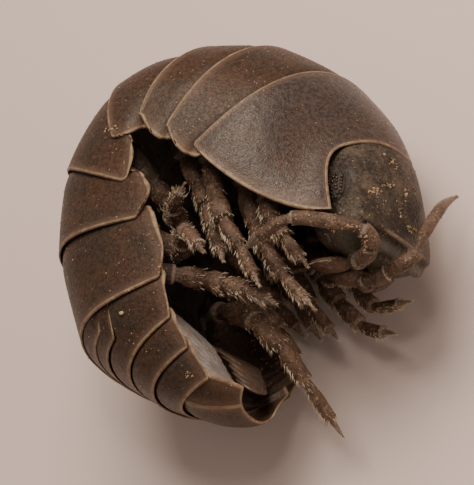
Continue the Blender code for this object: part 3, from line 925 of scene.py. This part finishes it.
def mouth(skin, hair):
    build = Build("joint", "share")
    bristles = Build("u", "v")
    rng = random.Random(3)
    turns = round_turns(28)
    for _, side in SIDES:
        middle = MOUTH_CENTRE + np.array((0, 0, side * MOUTH_WIDE * 0.26))
        rings = []
        for t in np.linspace(0.02, 0.98, 30):
            ahead, swell = mouth_place(t)
            level = middle[1] - MOUTH_SAG * math.sin(math.pi * t)
            rings.append(np.stack((np.full(len(turns), middle[0] + ahead),
                                   level + MOUTH_HIGH * swell * np.sin(turns),
                                   middle[2] + MOUTH_WIDE * 0.23 * swell * np.cos(turns)), -1))
        loft(build, np.array(rings), share=0.4)
        tip = middle + np.array((-MOUTH_LONG * 0.46, -0.10, -side * 0.10))
        start = middle + np.array((-MOUTH_LONG * 0.22, -0.12, side * 0.04))
        route = [start, (start + tip) / 2 - np.array((0, 0.05, 0)), tip]
        limb(build, route, PALP_ENDS, PALP_THICK, 0.8, 0.0)
        for k in range(MOUTH_BRISTLES):
            t = 0.25 + 0.7 * k / MOUTH_BRISTLES
            ahead, swell = mouth_place(t)
            spot = middle + np.array((ahead, -0.06, side * MOUTH_WIDE * 0.21 * swell))
            spread = np.array([rng.uniform(-0.2, 0.2) for _ in range(3)])
            way = np.array((-0.5, -0.6, side * 0.5)) + spread
            bristle(bristles, spot, way, rng.uniform(*MOUTH_BRISTLE_LONG), MOUTH_BRISTLE_THICK,
                    STRAIGHT, (t, side * 0.2 + 0.5))
    build.done("mouth_covers", skin, "limb", ["mouthparts"])
    bristles.done("mouth_bristles", hair, "limb")


# Limbs: where each article ends along the limb, and how thick it is.
LEG_ENDS = (0.36, 0.52, 0.64, 0.78, 0.93, 1.0)
LEG_THICK = (0.27, 0.26, 0.26, 0.22, 0.16, 0.075)
FEELER_THICK = (0.22, 0.22, 0.22, 0.185, 0.15, 0.13)
RIGHT_FEELER_ENDS = (0.11, 0.22, 0.335, 0.70, 0.90, 1.0)
LEFT_FEELER_ENDS = (0.10, 0.18, 0.29, 0.44, 0.78, 1.0)
LIMB_SIDES = 24
LIMB_DENSE = 1200
LEG_FLAT, LEG_LUMPS = 0.86, 0.03
FEELER_FLAT, FEELER_LUMPS = 0.92, 0.02
ARTICLE_STEPS = (0.0, 0.015, 0.04, 0.09, 0.16, 0.26, 0.38, 0.52, 0.66, 0.78, 0.87, 0.93, 0.965,
                 0.985)
# An article: its narrow start, the dip and rise of its lip, and its closing end.
ARTICLE_WAIST = 0.70
LIP_DIP = 0.06
LIP_RISE = 0.05
ARTICLE_CLOSING = 0.30
ARTICLE_SPREAD = (0.94, 1.06)
CLAW_TAPER = 0.85
CLAW_POWER = 1.3
# How pale the skin is at most joints, at the palest ones and on a claw.
JOINT_PALE = (0.05, 0.45)
KNEE_PALE = 2.0
CLAW_PALE = 0.3
PALE_KNEES = (("right", 6),)
# Legs with more bristles than the rest, and how many times as many.
BRUSHES = {("right", 4): 1.7, ("right", 5): 2.0, ("right", 3): 1.3}
# Coat of a limb: articles with a comb, bristles in each row of a comb, round each joint and all
# over, the length of long and fine ones, and the share of the limb that is bare.
Coat = namedtuple("Coat", "combs comb crown hairs long fine bare")
LEG_COAT = Coat((2, 3, 4), 8, 9, 190, 0.15, 0.07, 0.19)
FEELER_COAT = Coat((), 0, 8, 700, 0.07, 0.045, 0.0)
STRAIGHT = np.zeros(3)
COMB_WAY = -np.array(VIEW_RIGHT) * 0.8 - np.array(VIEW_UP) * 0.45
COMB_ROWS = (-0.6, -0.2, 0.2, 0.6)
COMB_RUN = (0.12, 0.84)
COMB_OUT = (0.4, 0.8)
COMB_AHEAD = (0.6, 1.1)
COMB_LONG = (0.5, 1.35)
COMB_THICK = (0.008, 0.013)
COMB_SAG = 0.15
CROWN_OUT = (0.25, 0.6)
CROWN_LONG = (0.5, 1.0)
CROWN_THICK = 0.010
HAIR_OUT = 0.5
HAIR_LONG = (0.5, 1.5)
HAIR_THICK = 0.006
# How far out in a limb each kind of bristle is rooted, and its patch of the skin's unwrap.
COMB_ROOT, CROWN_ROOT, HAIR_ROOT = 0.92, 0.97, 0.95
PATCH = 0.0015

# Where a leg leaves the belly, and how deep in the body it starts.
HIP_SIDE = 47.0
FIRST_HIP_SHARE = 0.74
FIRST_HIP_DROP = 0.12
HIP_GAP = 0.28
HIP_DROP = 0.35
HIP_SINK = 0.30
NAPE_BODY_REACH = 38.0
NAPE_THICK = 0.22

# Where each leg bends, as in the part's source.
RIGHT_LEGS = (
    ((1.85, -0.25, 1.75), (2.30, -0.95, 1.65), (2.80, -1.60, 1.30)),
    ((1.10, 0.05, 1.40), (2.00, -1.55, 1.30), (3.05, -2.65, 1.20)),
    ((0.60, -0.10, 1.95), (1.20, -1.10, 1.85), (1.85, -2.15, 1.80)),
    ((-0.25, 0.65, 1.50), (0.20, -0.45, 1.45), (0.60, -1.30, 1.50)),
    ((-1.10, 0.20, 1.20), (-0.75, 0.10, 1.80), (-0.30, 0.50, 2.15)),
    ((-0.80, -0.85, 1.30), (-0.20, -0.65, 2.05), (0.45, -1.30, 2.15)),
    ((-0.10, -1.60, 1.35), (0.90, -1.85, 1.15), (1.85, -2.30, 0.95)),
)
LEFT_LEGS = (
    ((2.10, -0.35, -1.50), (2.92, -1.50, -1.50), (4.10, -1.60, -1.30)),
    ((1.12, -0.25, -1.85), (2.30, -1.70, -2.05), (3.50, -2.20, -1.70)),
    ((0.50, 0.25, -1.25), (1.25, -1.30, -1.45), (2.10, -2.30, -1.50)),
    ((-0.35, 0.50, -1.45), (0.40, -0.80, -2.00), (1.10, -1.90, -2.30)),
    ((-1.10, 0.30, -1.45), (-0.45, -0.60, -2.20), (0.40, -1.60, -2.70)),
    ((-0.80, -0.90, -1.05), (0.25, -1.65, -1.30), (0.90, -2.70, -2.10)),
    ((-0.60, -1.70, -0.45), (0.95, -2.50, -0.30), (2.10, -4.50, -2.20)),
)
RIGHT_ANTENNA = (
    (3.80, -1.15, 0.70), (3.90, -1.44, 0.95), (4.33, -1.38, 1.20), (4.50, -1.12, 1.50),
    (4.30, -0.95, 1.85), (3.75, -0.90, 2.20), (2.95, -0.84, 2.45), (2.30, -1.05, 2.42),
    (1.60, -1.44, 2.30),
)
LEFT_ANTENNA = (
    (3.82, -1.20, -0.70), (3.55, -1.50, -0.35), (3.60, -1.58, 0.05), (4.15, -1.43, 0.05),
    (4.82, -1.13, 0.10), (4.96, -0.62, -0.05), (4.95, 0.00, -0.45), (4.84, 0.67, -1.10),
    (4.69, 1.20, -1.90),
)


def hip(index, side):
    """Where a leg leaves the belly, and the way of the back there."""
    share = np.array([HIP_SIDE * side / PLATE_FROM])
    if index:
        margin = between(PEREON[index - 1], PEREON[index], 0.5)
        return belly_row(margin, share)[0], axes(margin)[0]
    rear = PEREON[0]
    angle = np.array([HIP_SIDE * side])
    aside = smooth_step(NAPE_BODY_REACH / 2, PLATE_FROM, HIP_SIDE)
    front = nape_row(angle, NAPE_THICK * (1 - aside))
    front[0, 2] -= side * NAPE_THICK * aside
    low = bend(front, nape_leads(angle), -axes(rear)[1], belly_row(rear, share), FIRST_HIP_SHARE)
    back = flat_way((NAPE_LEAN + rear.lean) / 2)
    return low[0] - back * FIRST_HIP_DROP, back


def limb_frames(route, ends):
    """Points, directions, articles and places within them along a limb, closer at its joints."""
    dense = even(curve_through(route, LIMB_DENSE // 3), LIMB_DENSE)
    starts = np.array((0.0, *ends[:-1]))
    parts = np.repeat(np.arange(len(ends)), len(ARTICLE_STEPS))
    within = np.tile(ARTICLE_STEPS, len(ends))
    shares = np.append(starts[parts] + (np.array(ends) - starts)[parts] * within, 1.0)
    parts, within = np.append(parts, len(ends) - 1), np.append(within, 1.0)
    places, steps = shares * (len(dense) - 1), np.arange(len(dense))
    points = np.stack([np.interp(places, steps, dense[:, k]) for k in range(3)], -1)
    ahead = unit(np.gradient(points, axis=0) + 1e-9)
    side = unit(np.cross(ahead[0], (0.3, 0.4, 0.87)))
    sides = []
    for direction in ahead:
        side = side - direction * np.dot(side, direction)
        side = side / np.linalg.norm(side)
        sides.append(side)
    return points, ahead, np.array(sides), parts, within


def article_radius(thick, parts, within, last, rng):
    """Radii along a limb: each article widens to a lip, and the last is a claw."""
    swell = ARTICLE_WAIST + (1 - ARTICLE_WAIST) * smooth_step(0.0, 0.45, within)
    lip = (1 - LIP_DIP * smooth_step(0.55, 0.85, within)
           + LIP_RISE * smooth_step(0.86, 0.94, within))
    closing = 1 - ARTICLE_CLOSING * smooth_step(0.95, 1.0, within)
    sizes = np.array([size * rng.uniform(*ARTICLE_SPREAD) for size in thick])
    radius = sizes[parts] * swell * lip * closing
    claw = parts == last
    radius[claw] = thick[-1] * (1 - CLAW_TAPER * within[claw] ** CLAW_POWER)
    return radius


def limb(build, route, ends, thick, flatness, lumps, pale=()):
    """Adds a limb's skin to a mesh, and gives its frames for the bristles."""
    rng = random.Random(len(build.points) + int(route[0][0] * 100))
    points, ahead, sides, parts, within = limb_frames(route, ends)
    radius = article_radius(thick, parts, within, len(ends) - 1, rng)
    others = np.cross(ahead, sides)
    turns = round_turns(LIMB_SIDES)
    phases = [rng.uniform(0, 6.0) for _ in ends]
    rings = []
    for i in range(len(points)):
        phase = 5.0 * i / len(points) + phases[parts[i]]
        bulge = 1 + lumps * (np.sin(2 * turns + phase) + 0.6 * np.sin(5 * turns - 2 * phase))
        ring = (np.cos(turns)[:, None] * sides[i] + np.sin(turns)[:, None] * others[i] * flatness)
        rings.append(points[i] + ring * (radius[i] * bulge)[:, None])
    joint = smooth_step(0.93, 0.98, within) + (1 - smooth_step(0.0, 0.03, within))
    strength = np.array([rng.uniform(*JOINT_PALE) for _ in ends])[parts]
    strength[np.isin(parts, pale)] = KNEE_PALE
    joint = joint * strength
    joint[parts == len(ends) - 1] = CLAW_PALE
    share = (parts + within) / len(ends)
    loft(build, np.array(rings), joint=np.repeat(np.clip(joint, 0, 1), LIMB_SIDES),
         share=np.repeat(share, LIMB_SIDES))
    return points, ahead, sides, others, radius, parts, within


def bristle(build, root, direction, length, radius, sag, home):
    """One tapered bristle, slightly bent, and its root's place on the skin's unwrap."""
    direction = unit(direction)
    side = unit(np.cross(direction, (0.37, 0.61, 0.70)))
    other = np.cross(direction, side)
    points, us, vs = [], [], []
    for along, size in ((-radius, 1.0), (length * 0.5, 0.72)):
        spot = root + direction * along + (sag * 0.25 if along > 0 else 0)
        for k in range(4):
            turn = math.pi * k / 2
            points.append(spot + (side * math.cos(turn) + other * math.sin(turn)) * radius * size)
            us.append(home[0] + PATCH * size * math.cos(turn))
            vs.append(home[1] + PATCH * size * math.sin(turn))
    points.append(root + direction * length + sag)
    us.append(home[0])
    vs.append(home[1])
    faces = [[3, 2, 1, 0]]
    faces += [[k, (k + 1) % 4, 4 + (k + 1) % 4, 4 + k] for k in range(4)]
    faces += [[4 + k, 4 + (k + 1) % 4, 8] for k in range(4)]
    build.add(points, faces, u=us, v=vs)


def limb_bristles(build, made, rng, coat, brush):
    """Stout bristles on one edge, a crown at each joint, and short fine ones all round."""
    points, ahead, sides, others, radius, parts, within = made
    comb, crown, hairs = (int(count * brush) for count in (coat.comb, coat.crown, coat.hairs))
    count = len(points)

    def stand(i, turn, root, out, length, thick):
        way = sides[i] * math.cos(turn) + others[i] * math.sin(turn)
        bristle(build, points[i] + way * radius[i] * root, way * out + ahead[i], length, thick,
                STRAIGHT, (i / count, turn / (2 * math.pi)))

    for part in coat.combs:
        inside = np.where(parts == part)[0]
        for row in COMB_ROWS:
            for k in range(comb):
                wanted = COMB_RUN[0] + COMB_RUN[1] * (k + rng.random() * 0.6) / comb
                i = inside[int(np.argmin(np.abs(within[inside] - wanted)))]
                blend = rng.random()
                spot = points[i] * (1 - blend) + points[min(i + 1, count - 1)] * blend
                way = unit(COMB_WAY - ahead[i] * np.dot(COMB_WAY, ahead[i]))
                way = unit(way + np.cross(ahead[i], way) * (row + rng.uniform(-0.2, 0.2)))
                lean = way * rng.uniform(*COMB_OUT) + ahead[i] * rng.uniform(*COMB_AHEAD)
                bristle(build, spot + way * radius[i] * COMB_ROOT, lean,
                        coat.long * rng.uniform(*COMB_LONG), rng.uniform(*COMB_THICK),
                        ahead[i] * coat.long * COMB_SAG, (i / count, 0.5 + row * 0.2))
    for part in range(1, parts[-1]):
        i = np.where(parts == part)[0][-2]
        for k in range(crown):
            turn = 2 * math.pi * (k + rng.random() * 0.5) / crown
            stand(i, turn, CROWN_ROOT, rng.uniform(*CROWN_OUT),
                  coat.long * rng.uniform(*CROWN_LONG), CROWN_THICK)
    for _ in range(hairs):
        i = int((coat.bare + (1 - coat.bare) * rng.random() ** 0.8) * (count - 2)) + 1
        stand(i, rng.random() * 2 * math.pi, HAIR_ROOT, HAIR_OUT,
              coat.fine * rng.uniform(*HAIR_LONG), HAIR_THICK)


def dressed_limb(names, rng, skin, hair, coat, brush, *shape):
    """A limb's skin, which stands for its CAD node, and its bristles as a piece of their own."""
    skin_name, node, bristles_name = names
    build = Build("joint", "share")
    made = limb(build, *shape)
    build.done(skin_name, skin, "limb", [node])
    bristles = Build("u", "v")
    limb_bristles(bristles, made, rng, coat, brush)
    bristles.done(bristles_name, hair, "limb")


def legs(skin, hair):
    rng = random.Random(11)
    for (name, side), bends in zip(SIDES, (RIGHT_LEGS, LEFT_LEGS)):
        for index, points in enumerate(bends):
            start, back = hip(index, side)
            start = start - back * HIP_GAP
            route = [start + back * HIP_SINK, start - back * HIP_DROP, *np.array(points)]
            leg = f"{name}_{index + 1}"
            pale = (0,) if (name, index) in PALE_KNEES else ()
            dressed_limb((f"limb_{leg}", f"leg_{leg}", f"bristles_{leg}"), rng, skin, hair,
                         LEG_COAT, BRUSHES.get((name, index), 1.0),
                         route, LEG_ENDS, LEG_THICK, LEG_FLAT, LEG_LUMPS, pale)


def feelers(skin, hair):
    rng = random.Random(5)
    for name, route, ends, pale in (("right", RIGHT_ANTENNA, RIGHT_FEELER_ENDS, (3,)),
                                    ("left", LEFT_ANTENNA, LEFT_FEELER_ENDS, (2,))):
        names = (f"feeler_{name}", f"antenna_{name}", f"feeler_hairs_{name}")
        dressed_limb(names, rng, skin, hair, FEELER_COAT, 1.0,
                     route, ends, FEELER_THICK, FEELER_FLAT, FEELER_LUMPS, pale)


def limb_material(name, dark, pale):
    s = Shader(name)
    cloud = s.sum(s.noise(2.4, 5.0, 0.65), s.times(s.noise(9.0, 3.0, 0.7), 0.6))
    body = s.mix(s.steps(cloud, 0.55, 1.0), dark, pale)
    grey = s.steps(s.value("share"), 0.10, 0.30, 0.70, 0.0)
    body = s.mix(grey, body, (0.052, 0.037, 0.030))
    crust = s.steps(s.times(s.noise(2.0, 4.0), s.noise(15.0, 4.0, 0.7)), 0.25, 0.38)
    body = s.mix(s.times(crust, 0.65), body, (0.27, 0.165, 0.10))
    body = s.mix(s.specks(9.0, 0.22, 0.5), body, (0.36, 0.25, 0.16))
    colour = s.mix(s.times(s.value("joint"), 0.7), body, (0.38, 0.28, 0.21))
    rough = s.steps(s.noise(8.0), 0.3, 0.7, 0.35, 0.60)
    low = s.bump(s.noise(5.0, 4.0), 0.07)
    fine = s.bump(s.noise(18.0, 4.0), 0.035, low)
    return s.finish(Base_Color=colour, Roughness=rough, Normal=fine, Specular_Tint=SHEEN)


def head_material():
    s = Shader("head_skin")
    cloud = s.sum(s.noise(1.6, 5.0), s.times(s.noise(14.0, 3.0, 0.7), 0.8))
    body = s.mix(s.steps(cloud, 0.75, 1.12), (0.020, 0.014, 0.010), (0.095, 0.064, 0.043))
    face = s.mix(s.noise(3.0), (0.07, 0.066, 0.046), (0.15, 0.130, 0.095))
    body = s.mix(s.value("face"), body, face)
    body = s.mix(s.value("smooth"), body, (0.075, 0.068, 0.066))
    body = s.mix(s.specks(8.0, 0.20, 0.55), body, (0.26, 0.19, 0.12))
    crust = s.steps(s.noise(3.0, 6.0, 0.7), 0.58, 0.68, 0.0, 0.6)
    body = s.mix(crust, body, (0.13, 0.080, 0.045))
    colour = s.mix(s.steps(s.value("ridge"), 0.35, 0.8, 0.0, 0.75), body, (0.26, 0.17, 0.11))
    fine = s.bump(s.noise(16.0, 3.0, 0.65), 0.040)
    pits = s.bump(s.dots(9.0), 0.030, fine)
    return s.finish(Base_Color=colour, Roughness=0.46, Normal=pits, Specular_IOR_Level=0.35,
                    Specular_Tint=SHEEN)


def eye_material():
    s = Shader("eye")
    lens = s.mix(s.steps(s.noise(3.0), 0.45, 0.60), (0.008, 0.007, 0.007), (0.050, 0.036, 0.026))
    colour = s.mix(s.value("bead"), (0.034, 0.024, 0.018), lens)
    rough = s.steps(s.value("bead"), 0.0, 1.0, 0.65, 0.24)
    return s.finish(Base_Color=colour, Roughness=rough, Normal=s.bump(s.noise(16.0, 3.0), 0.02),
                    Specular_Tint=SHEEN)


def bristle_material(name, dark, pale):
    s = Shader(name)
    colour = s.mix(s.steps(s.noise(3.0), 0.35, 0.65), dark, pale)
    return s.finish(Base_Color=colour, Roughness=0.35)


def pixel_point(px, py):
    """A point at a pixel of the photo, in the plane through the ring that faces the camera."""
    right = (px - RING_PIXEL[0]) * PIXEL
    up = (RING_PIXEL[1] - py) * PIXEL
    return VIEW_RIGHT * right + VIEW_UP * up


def world(point):
    return (Vector(point) - Vector(ORIGIN)) * MM


# Specks of soil where the photo shows them: the pixel across and down, how far they spread
# across and down in pixels, how many there are, and the size of the largest in micrometres.
SOIL = (
    (376, 191, 9, 4, 30, 46), (389, 185, 7, 2, 16, 36), (393, 161, 3, 3, 16, 48),
    (396, 168, 2, 3, 7, 36), (406, 194, 1, 7, 20, 48), (411, 228, 4, 4, 18, 46),
    (401, 213, 2, 6, 10, 36), (358, 176, 9, 8, 10, 20), (385, 205, 12, 10, 16, 22),
    (384, 154, 1, 1, 1, 45), (350, 200, 1, 3, 3, 30), (334, 197, 1, 1, 2, 28),
    (204, 170, 2, 1, 4, 60), (212, 172, 1, 1, 1, 45), (128, 128, 1, 1, 1, 45),
    (112, 129, 6, 3, 14, 44), (117, 149, 5, 4, 7, 22), (94, 157, 1, 1, 1, 34),
    (125, 165, 1, 7, 4, 26), (118, 217, 3, 1, 3, 30), (84, 228, 3, 3, 5, 30),
    (107, 273, 1, 1, 1, 42), (73, 260, 1, 1, 1, 34), (151, 236, 3, 4, 8, 34),
    (160, 267, 1, 1, 2, 36), (160, 245, 1, 1, 1, 32), (129, 290, 3, 1, 3, 32),
    (122, 313, 2, 1, 2, 55), (90, 350, 3, 8, 6, 30), (121, 368, 1, 1, 1, 44),
    (110, 377, 2, 2, 3, 28), (189, 375, 4, 3, 14, 40), (232, 385, 2, 1, 2, 50),
    (253, 419, 4, 6, 8, 30), (334, 231, 2, 2, 3, 65), (352, 241, 3, 2, 3, 60),
    (352, 227, 9, 2, 20, 40), (366, 240, 3, 9, 24, 40), (205, 243, 1, 1, 1, 45),
    (300, 264, 1, 1, 1, 40), (272, 318, 2, 2, 2, 55), (245, 313, 3, 2, 3, 40),
    (262, 362, 3, 8, 5, 36), (276, 350, 3, 5, 4, 36), (310, 377, 4, 8, 4, 36),
    (255, 338, 14, 12, 34, 26), (280, 362, 12, 12, 34, 26), (303, 390, 9, 16, 34, 24),
    (325, 418, 7, 14, 26, 22), (245, 308, 18, 9, 34, 26), (185, 190, 14, 16, 16, 24),
    (260, 280, 40, 24, 60, 22), (322, 143, 6, 5, 3, 30),
)
SOIL_AROUND = 900
SOIL_REACH = 12.0
SOIL_SMALL = (0.008, 0.022)
SOIL_SPREAD = 0.5
SOIL_LEAST = 0.35
SOIL_SINK = 0.25
SOIL_BOX = ((-3, 3), (-4, 3), (-2.5, 2.5))


def grain(build, spot, size, rng):
    """One crumb, as a ball with uneven radii."""
    radii = (size, size * rng.uniform(0.6, 1.0), size * rng.uniform(0.5, 0.9))
    points, faces = ball(np.zeros(3), radii, 5, 7)
    points = points * np.array([rng.uniform(0.6, 1.3) for _ in points])[:, None]
    angle = rng.uniform(0, 6.28)
    turn = Matrix.Rotation(angle, 3, Vector((rng.gauss(0, 1), rng.gauss(0, 1), 1.0)))
    build.add(spot + points @ np.array(turn), faces, tone=rng.random())


def view_eye():
    """The camera's place in the ring's frame."""
    centre = pixel_point(FRAME_SIZE[0] / 2, FRAME_SIZE[1] / 2)
    return centre + VIEW_BACK.normalized() * CAMERA_AWAY


def soil(material):
    """Crumbs of soil on the surfaces that the camera sees, and a fine dust all round."""
    rng = random.Random(21)
    builds = {slot: Build("tone") for slot, _, _ in SURFACES}
    trees = [(slot, BVHTree.FromPolygons(points.tolist(), faces))
             for slot, points, faces in SURFACES]

    def drop(start, way, size):
        hits = [(tree.ray_cast(start, way), slot) for slot, tree in trees]
        hits = [(hit[3], hit[0], hit[1], slot) for hit, slot in hits if hit[0]]
        if hits:
            _, spot, normal, slot = min(hits, key=lambda item: item[0])
            normal = normal if normal.dot(way) < 0 else -normal
            if slot != "eye":
                grain(builds[slot], np.array(spot + normal * size * SOIL_SINK), size, rng)

    viewer = view_eye()
    for px, py, wide, high, count, size in SOIL:
        for _ in range(count):
            x = px + rng.gauss(0, SOIL_SPREAD) * wide
            y = py + rng.gauss(0, SOIL_SPREAD) * high
            share = SOIL_LEAST + (1 - SOIL_LEAST) * rng.random() ** 2
            drop(viewer, (pixel_point(x, y) - viewer).normalized(), size / 1000 * share)
    for _ in range(SOIL_AROUND):
        away = Vector([rng.gauss(0, 1) for _ in range(3)]).normalized()
        aim = Vector([rng.uniform(*span) for span in SOIL_BOX])
        drop(aim + away * SOIL_REACH, -away, rng.uniform(*SOIL_SMALL))
    for slot, build in builds.items():
        if build.points:
            build.done(f"soil_{slot}", material, slot)


def soil_material():
    s = Shader("soil")
    colour = s.mix(s.value("tone"), (0.20, 0.098, 0.040), (0.43, 0.29, 0.175))
    return s.finish(Base_Color=colour, Roughness=0.7, Normal=s.bump(s.noise(40.0, 2.0), 0.01))


# Floor, sky, camera range, and the lights: the way towards each in the view (right, up, back),
# its distance, its diameter, its power and its colour.
FLOOR_REACH = 0.25
FLOOR_COLOUR = (0.74, 0.56, 0.48)
SKY_COLOUR = (1.0, 0.92, 0.85, 1.0)
SKY_STRENGTH = 0.30
CLIP_NEAR = 0.2
CLIP_FAR = 10.0
LIGHT_AIM = Vector((0, 0, 3.0 * MM))
LIGHTS = (
    ("key", (-0.30, 0.72, 0.62), 60, 42, 4.1e4, (1.0, 0.95, 0.89)),
    ("glint", (-0.12, 0.30, 0.90), 70, 10, 6.0e3, (1.0, 0.96, 0.92)),
    ("fill", (0.70, 0.20, 0.80), 70, 60, 8.0e3, (1.0, 0.94, 0.88)),
)


def area_light(name, toward, distance, size, power, colour):
    lamp = bpy.data.lights.new(name, "AREA")
    lamp.shape = "DISK"
    lamp.size = size * MM
    lamp.energy = power * MM ** 2
    lamp.color = colour
    made = bpy.data.objects.new(name, lamp)
    right, up, back = toward
    direction = (VIEW_BACK * back + VIEW_UP * up + VIEW_RIGHT * right).normalized()
    made.location = LIGHT_AIM + direction * distance * MM
    made.rotation_mode = "QUATERNION"
    made.rotation_quaternion = direction.to_track_quat("Z", "Y")
    bpy.context.collection.objects.link(made)


def stage():
    """Floor, lights and the camera that keeps the photo's framing."""
    signs = ((-1, -1), (1, -1), (1, 1), (-1, 1))
    corners = [(x * FLOOR_REACH, y * FLOOR_REACH, 0) for x, y in signs]
    mesh = bpy.data.meshes.new("floor")
    mesh.from_pydata(corners, [], [(0, 1, 2, 3)])
    floor = bpy.data.objects.new("floor", mesh)
    bpy.context.collection.objects.link(floor)
    mesh.materials.append(Shader("floor").finish(Base_Color=FLOOR_COLOUR, Roughness=0.75))

    sky = bpy.data.worlds.new("studio")
    sky.use_nodes = True
    inputs = sky.node_tree.nodes["Background"].inputs
    inputs["Color"].default_value = SKY_COLOUR
    inputs["Strength"].default_value = SKY_STRENGTH
    bpy.context.scene.world = sky
    for light in LIGHTS:
        area_light(*light)

    data = bpy.data.cameras.new("camera")
    data.lens = LENS
    data.sensor_width = SENSOR
    data.clip_start = CAMERA_AWAY * MM * CLIP_NEAR
    data.clip_end = CLIP_FAR
    camera = bpy.data.objects.new("camera", data)
    turn = Matrix((VIEW_RIGHT.normalized(), VIEW_UP.normalized(), VIEW_BACK.normalized()))
    camera.matrix_world = Matrix.Translation(world(view_eye())) @ turn.transposed().to_4x4()
    bpy.context.collection.objects.link(camera)
    bpy.context.scene.camera = camera


def main():
    stage()
    shell = shell_material("shell", ((0.023, 0.0125, 0.008), (0.078, 0.036, 0.020),
                                     (0.053, 0.034, 0.023)), 0.46)
    # The first plate's copy of the shell has paler, greyer colours than the other plates: painted
    # sheen of the light on that plate.
    nape = shell_material("nape_shell_painted_sheen", ((0.028, 0.019, 0.016), (0.084, 0.049, 0.036),
                                         (0.070, 0.053, 0.045)), 0.36)
    plates(nape, shell)
    trunk(flesh_material())
    head(head_material())
    beads = eye_material()
    for name, side in SIDES:
        eye(name, side, beads)
    skin = limb_material("limb_skin", (0.038, 0.019, 0.012), (0.130, 0.066, 0.038))
    hair = bristle_material("bristle", (0.30, 0.18, 0.10), (0.76, 0.60, 0.43))
    down = bristle_material("down", (0.13, 0.075, 0.045), (0.36, 0.24, 0.15))
    legs(skin, hair)
    feelers(limb_material("feeler_skin", (0.042, 0.021, 0.013), (0.108, 0.056, 0.033)), down)
    mouth(skin, hair)
    pale = gill_material("gill_pale", (0.32, 0.26, 0.225), (0.20, 0.160, 0.135))
    gill_leaves("right", 1, pale)
    # The far side's gill leaves get a darker copy of the gill colours: painted shade.
    dark = gill_material("gill_painted_shade", (0.13, 0.080, 0.055), (0.075, 0.042, 0.030))
    gill_leaves("left", -1, dark)
    soil(soil_material())


main()
